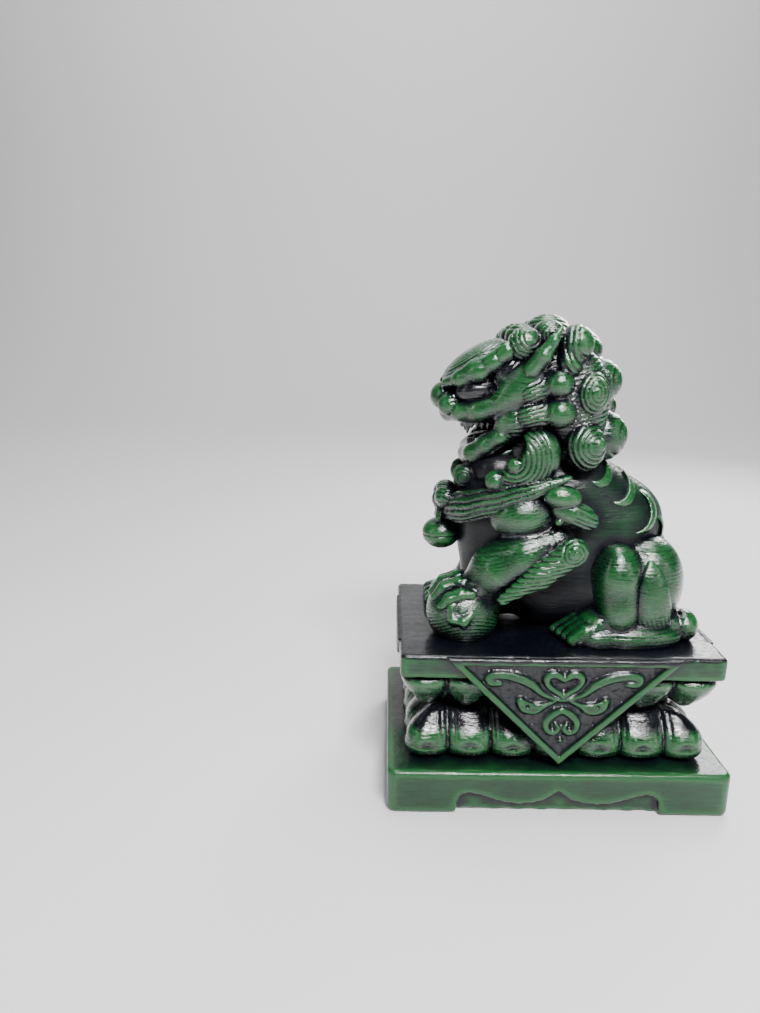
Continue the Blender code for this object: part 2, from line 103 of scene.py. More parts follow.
def limb(p, start, end, start_radius, end_radius):
    """A rod with round ends that tapers from one radius to the other."""
    run = [b - a for a, b in zip(start, end)]
    x, y, z = p.x - start[0], p.y - start[1], p.z - start[2]
    length = sum(r * r for r in run)
    t = np.clip((x * run[0] + y * run[1] + z * run[2]) / length, 0, 1)
    away = np.sqrt((x - t * run[0]) ** 2 + (y - t * run[1]) ** 2 + (z - t * run[2]) ** 2)
    return away - (start_radius + (end_radius - start_radius) * t)


def chain(p, points, radii, k=1.0):
    """Rods from point to point."""
    rods = [limb(p, a, b, ra, rb) for a, b, ra, rb in zip(points, points[1:], radii, radii[1:])]
    return melt(k, *rods)


def block(p, low, high, corner=0.0, rim=0.0):
    """A box: its upright edges rounded by corner, its other edges by rim."""
    half = [(b - a) / 2 for a, b in zip(low, high)]
    middle = [(a + b) / 2 for a, b in zip(low, high)]
    x = np.abs(p.x - middle[0]) - half[0] + corner
    y = np.abs(p.y - middle[1]) - half[1] + corner
    wall = np.hypot(np.maximum(x, 0), np.maximum(y, 0)) + np.minimum(np.maximum(x, y), 0) - corner + rim
    lid = np.abs(p.z - middle[2]) - half[2] + rim
    return np.hypot(np.maximum(wall, 0), np.maximum(lid, 0)) + np.minimum(np.maximum(wall, lid), 0) - rim


def melt(k, *fields):
    """The union, with its creases filled over a width of about k."""
    out = fields[0]
    for field in fields[1:]:
        near = np.maximum(k - np.abs(out - field), 0) / k
        out = np.minimum(out, field) - near * near * k * 0.25
    return out


def meet(k, *fields):
    """The intersection, with its edges rounded over a width of about k."""
    return -melt(k, *[-field for field in fields])


def ramp(value, low, high):
    """0 below low, 1 above high, smooth between."""
    t = np.clip((value - low) / (high - low), 0, 1)
    return t * t * (3 - 2 * t)


def lines(w, pitch, power=1.6):
    """Depth of engraved lines, one per pitch along w: 1 in a line, 0 on the rounded ridges between them."""
    return (1 - np.abs(np.sin(math.pi * w / pitch))) ** power


def waver(p, size, seed=0):
    """A soft unevenness in -1 to 1, about size across, as hand-worked forms have."""
    a, b, c = p.x / size, p.y / size, p.z / size
    s = seed * 1.7
    wave = np.sin(a * 1.9 + 1.3 * np.sin(b * 1.3 + s) + s) + np.sin(b * 2.1 + 1.1 * np.sin(c * 1.7 + s) + 2
                                                                    * s)
    return (wave + np.sin(c * 2.3 + 1.2 * np.sin(a * 1.5 - s) + 3 * s)) / 3


def rings(u, v, pitch):
    """Depth of lines that run in circles round u = v = 0."""
    return lines(np.hypot(u, v), pitch)


def snail(u, v, pitch):
    """Depth of a line that winds slowly outwards round u = v = 0."""
    return lines(np.hypot(u, v) + 0.25 * np.arctan2(v, u), pitch)


def whorl(p, centre, pitch, depth, reach, turns=1, squash=(1.0, 1.0), start=0.6):
    """Depth of a snail-shell line carved on a side face, round centre (x, z), out to reach."""
    u, v = (p.x - centre[0]) / squash[0], (p.z - centre[1]) / squash[1]
    away = np.hypot(u, v)
    along = away / pitch - turns * np.arctan2(v, u) / (2 * math.pi)
    shown = ramp(away, start * pitch, start * pitch + 0.5) * (1 - ramp(away, reach - 1, reach))
    return depth * lines(along, 1.0) * shown


# ---------------------------------------------------------------- from a field to a skin

CORNERS = [(dx, dy, dz) for dx in (0, 1) for dy in (0, 1) for dz in (0, 1)]


def skin(field, low, high, step):
    """Vertices and quads of the field's zero surface: a vertex per crossed cell, a quad per crossed edge."""
    axes = [np.arange(a - 1.5 * step, b + 2.5 * step, step, dtype=np.float32) for a, b in zip(low, high)]
    shape = tuple(len(a) for a in axes)
    values = np.empty(shape, np.float32)
    rows = max(1, int(400000 / (shape[1] * shape[2])))
    for first in range(0, shape[0], rows):
        x, y, z = np.meshgrid(axes[0][first:first + rows], axes[1], axes[2], indexing="ij")
        values[first:first + rows] = field(Points(x, y, z))
    for edge in (values[0], values[-1], values[:, 0], values[:, -1], values[:, :, 0], values[:, :, -1]):
        np.maximum(edge, 0.01 * step, out=edge)
    inside = values < 0
    count = np.zeros(tuple(n - 1 for n in shape), np.int8)
    for dx, dy, dz in CORNERS:
        count += inside[dx:shape[0] - 1 + dx, dy:shape[1] - 1 + dy, dz:shape[2] - 1 + dz]
    cells = np.argwhere((count > 0) & (count < 8))
    number = np.full(count.shape, -1, np.int32)
    number[tuple(cells.T)] = np.arange(len(cells))
    total, hits = np.zeros((len(cells), 3)), np.zeros(len(cells))
    for axis in range(3):
        across = [a for a in range(3) if a != axis]
        for shift in ((0, 0), (0, 1), (1, 0), (1, 1)):
            start = cells.copy()
            start[:, across[0]] += shift[0]
            start[:, across[1]] += shift[1]
            end = start.copy()
            end[:, axis] += 1
            a, b = values[tuple(start.T)], values[tuple(end.T)]
            crossed = (a < 0) != (b < 0)
            t = np.where(crossed, a / np.where(crossed, a - b, 1), 0)
            point = start.astype(float)
            point[:, axis] += t
            total += point * crossed[:, None]
            hits += crossed
    origin = np.array([a[0] for a in axes])
    vertices = origin + step * total / hits[:, None]
    quads = []
    for axis in range(3):
        u, v = (axis + 1) % 3, (axis + 2) % 3
        edges = np.argwhere(np.diff(inside, axis=axis))
        edges = edges[(edges[:, u] > 0) & (edges[:, v] > 0)]
        keep = (edges[:, u] < shape[u] - 1) & (edges[:, v] < shape[v] - 1)
        edges = edges[keep]
        leaving = inside[tuple(edges.T)]
        corners = []
        for du, dv in ((-1, -1), (0, -1), (0, 0), (-1, 0)):
            cell = edges.copy()
            cell[:, u] += du
            cell[:, v] += dv
            corners.append(number[tuple(cell.T)])
        quad = np.stack(corners, 1)
        quad[~leaving] = quad[~leaving][:, ::-1]
        quads.append(quad)
    return vertices, np.concatenate(quads)


class Skin:
    """A piece's vertices (in the row frame, in millimetres) and quads, with its normals and neighbours."""

    def __init__(self, name, vertices, quads, look):
        self.name, self.at, self.quads, self.look = name, vertices, quads, look
        a = vertices[quads[:, 2]] - vertices[quads[:, 0]]
        b = vertices[quads[:, 3]] - vertices[quads[:, 1]]
        across = np.cross(a, b)
        self.normal = np.zeros_like(vertices)
        for corner in range(4):
            for axis in range(3):
                self.normal[:, axis] += np.bincount(quads[:, corner], across[:, axis], len(vertices))
        self.normal /= np.linalg.norm(self.normal, axis=1, keepdims=True) + 1e-9

    def smoothed(self, values, times):
        """Values averaged over the neighbouring vertices, as many times as asked."""
        pairs = np.concatenate([self.quads[:, [i, (i + 1) % 4]] for i in range(4)])
        ends = np.concatenate([pairs, pairs[:, ::-1]])
        share = np.bincount(ends[:, 0], minlength=len(values)).astype(float)
        for _ in range(times):
            columns = []
            for axis in range(values.shape[1]):
                columns.append(np.bincount(ends[:, 0], values[ends[:, 1], axis], len(values)) / share)
            values = 0.3 * values + 0.7 * np.stack(columns, 1)
        return values

    def hollow(self, times):
        """How far each vertex lies below the smoothed skin, in millimetres: positive in a groove."""
        return np.einsum("ij,ij->i", self.smoothed(self.at, times) - self.at, self.normal)


SKINS = []
FIELDS = []


def sculpt(name, field, low, high, step, brush, dark=None, crevice_wash_and_shade_weight=1.15, on_lion=True):
    """Makes a piece's skin. On the lion, heights are measured from the slab's top.

    The paint: brush is extra green over the whole piece, dark is a function that says where it stays
    black, as black paint or as painted shade, and the crevice weight says how strongly crevices stay
    black, as black wash and painted shade.
    """
    bottom = FLOOR if on_lion else 0.0

    def placed(p):
        return field(Points(p.x, p.y, p.z - bottom))

    low, high = (low[0], low[1], low[2] + bottom), (high[0], high[1], high[2] + bottom)
    vertices, quads = skin(placed, low, high, step)
    SKINS.append(Skin(name, vertices, quads, (brush, dark, crevice_wash_and_shade_weight)))
    FIELDS.append((placed, low, high))


def sculpt_pair(name, field, low, high, step, brush):
    """A left piece, on the -Y side, and its mirror image on the right."""
    sculpt("left_" + name, field, low, high, step, brush)
    low_right, high_right = (low[0], -high[1], low[2]), (high[0], -low[1], high[2])
    sculpt("right_" + name, lambda p: field(p.mirror()), low_right, high_right, step, brush)


# ---------------------------------------------------------------- pedestal


def make_plinth():
    """The base block with a bracket-foot recess in each side."""
    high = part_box("plinth")[1] * 1000
    half_x, half_y, top = high.x, high.y, FLOOR - 39
    share = [0, 0.05, 0.14, 0.25, 0.38, 0.5, 0.64, 0.78, 0.87, 0.94, 0.98, 1.0]
    rise = [8.7, 7.3, 5.2, 4.2, 3.7, 4.0, 5.3, 6.9, 7.5, 7.1, 5.8, 3.0]

    def field(p):
        wobble = 0.12 * waver(p, 9)
        body = block(p, (-half_x, -half_y, 0), (half_x, half_y, top), 3.0, 1.3) + wobble
        for along, out, half_width, face in ((p.x, p.y, 33.4, half_y), (p.y, p.x, 19.0, half_x)):
            edge = np.interp(np.abs(along) / half_width, share, rise)
            floor = face - 2.4 + 0.25 * waver(p, 2.2, 3)
            pocket = np.maximum(np.maximum(p.z - edge, floor - np.abs(out)), np.abs(along) - half_width)
            body = meet(0.9, body, -pocket)
        return np.maximum(body, -p.z)

    sculpt("plinth", field, (-half_x, -half_y, 0), (half_x, half_y, top), 0.7, -0.04, crevice_wash_and_shade_weight=0.4,
           on_lion=False)


def slab_shade(p):
    """The table top is black, and the black runs unevenly over its edge."""
    return 1.5 * ramp(p.z + 0.5 * waver(p, 3.1, 6), FLOOR - 1.5, FLOOR - 0.7)


def make_slab():
    """The table top, with a softly uneven edge."""
    low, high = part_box("table_slab")
    low, high = low * 1000, high * 1000

    def field(p):
        return block(p, low, high, 1.6, 1.1) + 0.14 * waver(p, 6, 2) + 0.05 * waver(p, 1.6, 4)

    sculpt("table_slab", field, low, high, 0.7, -0.06, dark=slab_shade, on_lion=False)


def petal_inset(p, half, base, height, upward):
    """How far the carved faces lie in from the course's greatest width: long sides first, then the ends."""
    t = (p.z - base) / height
    insets = []
    for along, half_side, count in ((p.x, half[0], 7), (p.y, half[1], 5)):
        pitch = 2 * half_side / count
        cell = np.floor((along + half_side) / pitch)
        sway = 0.35 * np.sin(cell * 2.3 + half_side)
        off = np.abs(np.mod(along + half_side, pitch) - pitch / 2)
        if upward:
            fall = np.interp(t, [0, 0.04, 0.12, 0.25, 0.38, 0.5, 0.62, 0.75, 0.88, 1.05],
                             [4.2, 2.2, 0.8, 0.0, 0.05, 0.5, 1.5, 3.1, 5.4, 8.5])
            u = np.minimum(off / (0.5 * pitch), 0.995)
            valley = 3.4 * (1 - np.sqrt(1 - u ** 2.1))
            flute = lines(off - (0.5 * pitch) + sway, 2.1, 1.2) * ramp(off, 0.5 * pitch - 4.4,
                                                                       0.5 * pitch - 2.4)
            valley = valley + 0.45 * flute * ramp(t, 0.35, 0.6)
            below = (p.z - base - 5.4 - sway + 0.1 * off ** 2) / 1.2
            dimple = np.exp(-(off / 2.6) ** 2 - below ** 2)
            valley = valley + 0.7 * dimple
        else:
            fall = np.interp(t, [0, 0.1, 0.25, 0.45, 0.65, 0.8, 0.88, 0.95, 1.02],
                             [10.0, 8.4, 6.0, 3.4, 1.3, 0.2, 0.0, 0.7, 2.4])
            width = pitch * np.interp(t, [0.0, 0.08, 0.2, 0.35, 0.6, 0.8, 1],
                                      [0.1, 0.2, 0.28, 0.35, 0.44, 0.48, 0.49])
            u = off / width
            valley = 3.6 * (1 - np.sqrt(1 - np.minimum(u, 0.995) ** 2.0)) + 1.6 * ramp(u, 1, 1.25)
            rib = np.exp(-((off - 0.5 * pitch) / 0.6) ** 2) * ramp(u, 1.1, 1.4)
            valley = valley - 0.9 * rib
        insets.append(fall + valley + 0.2 * waver(p, 3, 1))
    return insets


def make_course(name, half, upward):
    """A course of lotus petals: pillows that swell at the foot, or hanging buds that are wide at the top."""
    low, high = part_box(name)
    base = low.z * 1000
    height = 15.0 if upward else 15.1

    def field(p):
        long_inset, short_inset = petal_inset(p, half, base, height, upward)
        wall = meet(3.4, np.abs(p.y) - half[1] + long_inset, np.abs(p.x) - half[0] + short_inset)
        return meet(0.8, wall * 0.85, p.z - base - height, base - p.z)

    def shade(p):
        t = (p.z - base) / height
        if upward:
            return 1.0 * ramp(t + 0.05 * waver(p, 1.7, 2), 0.58, 0.85)
        return 0.9 * (1 - ramp(t, 0.0, 0.34)) + 0.3 * ramp(t, 0.88, 0.97)

    sculpt(name, field, (-half[0], -half[1], base), (half[0], half[1], base + height), 0.5, 0.14,
           dark=shade, crevice_wash_and_shade_weight=0.8, on_lion=False)


def curve_through(points, parts=4):
    """More points on a smooth curve through the given ones."""
    given = np.array([points[0], *points, points[-1]], float)
    out = []
    for a, b, c, d in zip(given, given[1:], given[2:], given[3:]):
        for t in np.arange(parts) / parts:
            out.append(0.5 * (2 * b + (c - a) * t + (2 * a - 5 * b + 4 * c - d) * t ** 2
                              + (3 * b - a - 3 * c + d) * t ** 3))
    return np.array(out + [given[-1]])


def stroke(x, h, points, radii):
    """Distance to a flat carved stroke that swells and tapers along its points."""
    path = curve_through([(px, ph, r + 0.35) for (px, ph), r in zip(points, radii)])
    points, radii = path[:, :2], path[:, 2]
    best = None
    for (ax, ah), (bx, bh), ra, rb in zip(points, points[1:], radii, radii[1:]):
        dx, dh = bx - ax, bh - ah
        t = np.clip(((x - ax) * dx + (h - ah) * dh) / (dx * dx + dh * dh), 0, 1)
        away = np.hypot(x - ax - t * dx, h - ah - t * dh) - (ra + (rb - ra) * t)
        best = away if best is None else np.minimum(best, away)
    return best


def scrollwork(x, h):
    """Height of the cloth's scrolls, 0 to 1, at x from the middle and h below the top edge."""
    x = np.abs(x)
    heart = stroke(x, h, [(0, 6.9), (2.4, 5.4), (4.6, 5.5), (5.6, 7.2), (4.3, 9.7), (0, 12.7)],
                   [1.2, 1.5, 1.5, 1.3, 1.2, 1.2])
    leaf = stroke(x, h, [(0, 14.0), (3.4, 13.4), (7, 11.7), (10.4, 8.7), (14.6, 6.7), (20, 5.6), (23.6, 6.2),
                         (23.4, 8.0),
                         (20.6, 8.4)], [1.0, 1.0, 1.2, 1.6, 1.7, 1.6, 1.6, 1.6, 1.2])
    comma = stroke(x, h, [(2.6, 14.4), (5.8, 16.0), (9, 17.3), (12, 16.6), (13.7, 14.6)],
                   [0.9, 1.2, 2.1, 2.3, 1.4])
    spade = stroke(x, h,
                   [(0, 17.7), (3.0, 19.4), (4.9, 22.0), (4.6, 24.6), (2.5, 25.7), (0.9, 24.2), (1.9, 22.7)],
                   [1.3, 1.5, 1.4, 1.3, 1.3, 1.1, 0.6])
    tip = np.abs(x) + np.abs(h - 28.6) - 1.5
    eye = np.hypot(x - 11.3, h - 16.2) - 0.55
    best = melt(0.3, heart, leaf, comma, spade, tip)
    return ramp(-best, -0.25, 1.3) - 0.6 * ramp(-eye, -0.2, 0.3)


LONG_DRAPE, SHORT_DRAPE = (76.0, 37.6), (44.0, 15.0)
END_CLOTH_INSET = 1.3
CLOTH_THICKNESS = 2.2


def make_drape(name, side, width, drop):
    """A cloth corner with a raised hem, hanging over one side of the slab. Sides count round from -Y."""
    low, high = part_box(name)
    reach = max(abs(c) for c in ((low.y, high.y) if side % 2 == 0 else (low.x, high.x))) * 1000
    if side % 2:
        reach = reach - END_CLOTH_INSET
    back = reach - CLOTH_THICKNESS
    slope = math.hypot(drop, width / 2)

    def field(p):
        along, out = (p.x, p.y) if side % 2 == 0 else (p.y, p.x)
        out = out * (-1 if side in (0, 3) else 1)
        height = FLOOR - p.z
        edge = (np.abs(along) * drop - (width / 2) * (drop - height)) / slope
        rim = np.maximum(edge, -height)
        scale = (LONG_DRAPE[0] / width, LONG_DRAPE[1] / drop)
        hem = ramp(rim, -2.9, -2.1) - 0.25 * ramp(np.abs(rim + 1.25), 0.5, 1.5)
        relief = np.maximum(hem,
                            scrollwork(along * scale[0], height * scale[1]) * (1 - ramp(rim, -2.9, -2.5)))
        pits = 0.16 * (1 - ramp(relief, 0.1, 0.4)) * (waver(p, 0.5, 5) + waver(p, 0.8, 2))
        face = reach - 1.4 + 1.4 * relief + 0.1 * waver(p, 2, 5) + pits
        return meet(0.6, rim, out - face, back - out)

    def shade(p):
        out = np.abs(p.y if side % 2 == 0 else p.x)
        return 1.0 * ramp(reach - out, 0.45, 1.15) + slab_shade(p)

    bounds = (-width / 2, -reach, FLOOR - drop), (width / 2, -back, FLOOR)
    if side == 1:
        bounds = (back, -width / 2, FLOOR - drop), (reach, width / 2, FLOOR)
    if side == 2:
        bounds = (-width / 2, back, FLOOR - drop), (width / 2, reach, FLOOR)
    if side == 3:
        bounds = (-reach, -width / 2, FLOOR - drop), (-back, width / 2, FLOOR)
    sculpt(name, field, *bounds, 0.4, -0.02, dark=shade, on_lion=False)


# ---------------------------------------------------------------- lion


def above_slab(field, p):
    return meet(0.5, field, -0.25 - p.z)


BALL = (-31.0, -14.0, 7.6)


def make_ball():
    """The ball, with a comma-shaped knot of ribbon on its side."""
    def field(p):
        body = egg(p, BALL, (12.6, 12.2, 12.2))
        sweep = p.z + 0.035 * (p.x - BALL[0]) ** 2 - 0.1 * (p.x - BALL[0])
        body = body + 0.4 * lines(sweep + 0.25 * waver(p, 3, 1), 1.35, 1.3) * (1 - ramp(p.z, 8, 11))
        comma = chain(p,
                      [(-33.4, -22.6, 15.6), (-35.8, -23.6, 12.6), (-35.2, -25.2, 8.8), (-31.8, -26.0, 8.4),
                          (-29.4, -25.2, 10.4)], [1.3, 1.7, 1.9, 2.1, 1.4], 0.8)
        return above_slab(melt(0.7, body, comma + 0.35), p)

    sculpt("ball", field, (-44, -28, -0.3), (-18, -1, 20.4), 0.36, 0.06)


def trunk(p):
    return melt(
        5,
        egg(p, (18, 0, 17), (25.5, 20, 19)),
        egg(p, (12, 0, 35), (26.8, 18.5, 19.6), pitch=-10),
        egg(p, (3, 0, 48), (21, 17, 15)),
        egg(p, (-12, 0, 31), (19.5, 16, 19)),
        egg(p, (3, 0, 11), (20, 15, 13)),
        egg(p, (-17, 0, 47), (17.5, 16, 9)),
        egg(p, (-22, 0, 38), (11.5, 14, 9)),
        limb(p, (-19, 2, 36), (-20, 3, 10), 11.5, 10.5),
    )


def trunk_shade(p):
    """The flank is thinly brushed, and the chest and belly are darkened to black as painted shade."""
    z = p.z - FLOOR
    front = 1 - ramp(p.x + 0.25 * (z - 40), -6, 6)
    low = 1 - ramp(z - 0.6 * (p.x - 10), 12, 26)
    return 0.26 + 1.0 * np.maximum(front, low)


def make_torso():
    def field(p):
        strands = lines(p.z + 0.05 * p.x + 0.5 * waver(p, 5, 1), 0.95, 1.0)
        return above_slab(trunk(p) + 0.13 * waver(p, 4) + 0.1 * strands * ramp(p.x, -6, 4), p)

    sculpt("torso", field, (-36, -21, -0.3), (45, 21, 64), 0.45, 0.15, dark=trunk_shade)


def make_hind_leg():
    def field(p):
        lobe = melt(3, egg(p, (18.8, -18.4, 22.4), (8.2, 9.4, 11.4)),
                    egg(p, (19.4, -19.6, 12), (7.4, 9.0, 11)))
        rump = melt(3, egg(p, (31.6, -11.5, 18.5), (11.8, 13, 16)),
                    egg(p, (29.5, -12.5, 25), (10.5, 10.5, 9)))
        sole = melt(3, egg(p, (24, -21.4, 2.6), (17.5, 7.4, 5.6)), egg(p, (11.5, -21.5, 2.8), (9, 7.0, 4.6)))
        instep = egg(p, (13.4, -20.4, 7.4), (6.6, 6.0, 4.6), pitch=-10)
        toes = [chain(p, [(14.5, -17.8 - 2.1 * i, 9.6 - 0.8 * i),
                          (7.4 + 0.4 * i, -17.0 - 2.7 * i, 6.6 - 0.6 * i),
                          (0.8 + 1.2 * i, -15.6 - 3.3 * i, 2.0)], [2.2, 2.5, 2.0], 0.6) for i in range(4)]
        heel = egg(p, (43.0, -18, 5.0), (4.9, 5.6, 5.6))
        ankle = egg(p, (37, -17.5, 4.8), (8, 6, 5.6))
        body = melt(2.4, lobe, rump)
        foot = melt(0.7, melt(1.2, sole, instep), *toes)
        body = melt(0.8, body, foot)
        body = melt(0.5, melt(1.5, body, ankle), heel)
        strands = lines(p.z + 0.4 * waver(p, 5, 2), 1.05, 1.0)
        seams = lines(p.z, 1.4) * ramp(p.x, 11, 14) * (1 - ramp(p.z, 5.0, 6.4))
        return above_slab(body + 0.1 * strands * ramp(p.z, 9, 12) + 0.25 * seams + 0.12 * waver(p, 3, 1), p)

    sculpt_pair("hind_leg", field, (-3, -31, -0.3), (48.5, 1, 36), 0.4, 0.06)


def make_thigh_tuft():
    """The leaf of hair behind the knee, with a fringed lower edge."""
    def field(p):
        q = p.about((30.2, -22.5, 15.6), pitch=-6)
        half_width = np.interp(q.z, [-15, -9, -2, 5, 10, 14.4], [4.6, 6.6, 6.6, 5.6, 3.8, 0.8])
        leaf = np.maximum(np.abs(q.x) - half_width, np.abs(q.z) - 14.4)
        shell = egg(p, (29.5, -17.4, 14.5), (9.6, 9.4, 17.5), pitch=-6)
        fringe = lines(q.x + 0.25 * q.z, 1.5) * (1 - ramp(q.z, -9, -4))
        seams = lines(q.z + 0.3 * waver(p, 4, 1), 1.05, 1.0)
        return above_slab(meet(1.6, leaf, shell + 0.5 * fringe + 0.1 * seams), p)

    sculpt_pair("thigh_tuft", field, (18, -27.5, 0), (39, -10, 31), 0.4, 0.1)


def with_leg_hair(body, p):
    """A foreleg's surface, brushed with faint strands."""
    hair = lines(p.z * 0.9 - p.x * 0.3 + 0.5 * waver(p, 4, 2), 1.0, 1.0)
    return above_slab(body + 0.12 * hair + 0.1 * waver(p, 3, 3), p)


def make_left_foreleg():
    """The leg that reaches forward, with its toes over the ball."""
    def field(p):
        shoulder = egg(p, (-12.8, -16.0, 43.0), (11.4, 9.4, 8.8), pitch=-8)
        arm = chain(p, [(-2, -18.3, 33.8), (-11, -17.3, 29.2), (-20, -16, 23.0), (-26, -15, 17)],
                    [6.8, 9.0, 8.8, 6.0], 4)
        palm = egg(p, (-29.0, -13.8, 16.4), (8.0, 8.8, 4.6), pitch=-8)
        toes = []
        for place in range(4):
            y = -22.4 + 4.6 * place
            round_ball = math.sqrt(1 - ((y - BALL[1]) / 12.4) ** 2)
            turns = [math.radians(a) for a in (78, 100, 125, 148)]
            arch = [(BALL[0] + 12.5 * round_ball * math.cos(a), y, BALL[2] + 12.3 * round_ball * math.sin(a))
                    for a in turns]
            toes.append(chain(p, arch, [1.8, 2.2, 2.3, 1.5], 0.5))
        body = melt(1.0, shoulder, arm)
        body = melt(2.2, body, palm)
        body = melt(0.5, body, *toes)
        return with_leg_hair(body, p)

    sculpt("left_foreleg", field, (-46, -30, 7), (7, -4, 53), 0.4, 0.1)


def make_right_foreleg():
    def field(p):
        shoulder = egg(p, (-12.6, 16.5, 43), (9.2, 8.6, 7.4), pitch=10)
        arm = chain(p, [(-9, 18, 38), (-18, 17.5, 24), (-25, 17, 9)], [8.4, 7.6, 6.6], 3)
        paw = egg(p, (-30, 17, 4.4), (10.5, 8.4, 5.6))
        toes = [limb(p, (-33, 10.6 + 4.3 * i, 4.8), (-40.5, 10 + 4.6 * i, 2.2), 2.6, 2.4) for i in range(4)]
        body = melt(3, melt(1.0, shoulder, arm), paw)
        body = melt(0.5, body, *toes)
        return with_leg_hair(body, p)

    sculpt("right_foreleg", field, (-44, 4, -0.3), (2, 28, 52), 0.4, 0.05)


def elbow_tuft(p, knob, middle, tip, out):
    """A flame of hair that starts in a snail curl at the elbow."""
    flat = Points(p.x, (p.y - out) * 1.5, p.z)
    body = chain(flat, [(knob[0], 0, knob[1]), (middle[0], 0, middle[1]), (tip[0], 0, tip[1])],
                 [4.9, 4.3, 1.9], 2)
    u, v = p.x - knob[0], p.z - knob[1]
    away = np.hypot(u, v)
    beyond = ramp(away, 4.2, 5.2)
    curl = snail(u, v, 1.5) * (1 - beyond) * ramp(away, 0.8, 1.3)
    run = lines(v - 0.12 * u, 1.6) * beyond
    return body * 0.75 + 0.4 * np.maximum(curl, run)


def make_elbow_tufts():
    sculpt("left_elbow_tuft", lambda p: elbow_tuft(p, (2.4, 33), (-8, 25), (-19.5, 16.6), -26.8),
           (-22.5, -31.5, 13), (8.5, -22, 39), 0.36, 0.15)
    sculpt("right_elbow_tuft", lambda p: elbow_tuft(p, (-1, 35.5), (-7, 25), (-14, 13.5), 24.5),
           (-17, 20, 10), (5, 29.5, 42), 0.36, 0.15)


def make_shoulder_tuft():
    def field(p):
        upper = egg(p, (-1.6, -23.0, 50.0), (6.2, 3.8, 4.0), pitch=6)
        lower = egg(p, (2.8, -22.8, 44.2), (8.4, 3.8, 4.6), pitch=24)
        q = p.about((2.4, -23.4, 44.4), pitch=24)
        lower = lower + 0.35 * lines(q.z, 1.6) * ramp(q.x, -1, 1)
        bead = egg(p, (-2.6, -24.6, 42.2), (1.3, 1.3, 1.3))
        return melt(0.3, melt(0.4, upper, lower), bead)

    sculpt_pair("shoulder_tuft", field, (-8.5, -27.4, 37), (12, -18.6, 54.6), 0.36, 0.12)


def make_spine_ridge():
    """Bumps of hair down the back, and crescents on either flank that curl forward to a point."""
    crescents = (((20.6, 51.4), 5.8, (-2.6, 1.5)), ((27.6, 42.6), 6.4, (-3.0, 0.7)),
                 ((33.8, 34.8), 5.6, (-2.6, 0.6)),
                 ((13.2, 57.0), 5.2, (-2.4, 2.0)))
    bumps = (((18.5, 57.8), 34, 6.0), ((25.6, 51.6), 44, 5.6), ((32.4, 43.6), 54, 5.4),
             ((37.6, 34.4), 70, 5.0))

    def field(p):
        hug = trunk(p)
        parts = []
        for (x, z), size, (dx, dz) in crescents:
            outer = np.hypot(p.x - x, (p.z - z) * 0.92) - size
            inner = np.hypot(p.x - x - dx, (p.z - z - dz) * 0.92) - size * 0.93
            moon = meet(0.5, outer, -inner)
            lift = 0.8 * ramp(-outer, -0.2, 1.8)
            parts.append(meet(0.7, hug - 0.2 - lift, moon, 2.5 - np.abs(p.y)))
        for (x, z), pitch, length in bumps:
            parts.append(egg(p, (x - 0.6, 0, z - 3.3), (length, 8.5, 2.6), pitch=pitch) + 0.3
                         * lines(p.y, 1.8))
        return melt(0.3, *parts)

    sculpt("spine_ridge", field, (6, -21, 24), (46, 21, 62), 0.4, 0.12, crevice_wash_and_shade_weight=0.6)


def make_tail():
    """The tail lies flat up the rump and ends in a tuft of flames."""
    def field(p):
        stem = chain(p, [(39, 0, 4), (40.6, 0, 13), (39.6, 0, 22)], [4.4, 4.0, 3.0], 2)
        flames = [chain(p, [(39.5, y * 0.3, 16), (40.4, y, 22), (38.4, y * 1.25, 28 - 0.35 * abs(y))],
                        [2.6, 2.4, 1.0])
                  for y in (-5.4, -2.7, 0, 2.7, 5.4)]
        body = melt(0.5, stem, *flames)
        return above_slab(body + 0.35 * lines(p.y + 0.1 * np.sin(p.z * 0.4), 1.6) * ramp(p.z, 3, 6), p)

    sculpt("tail", field, (33, -8.5, -0.2), (46, 8.5, 30), 0.4, 0.0)


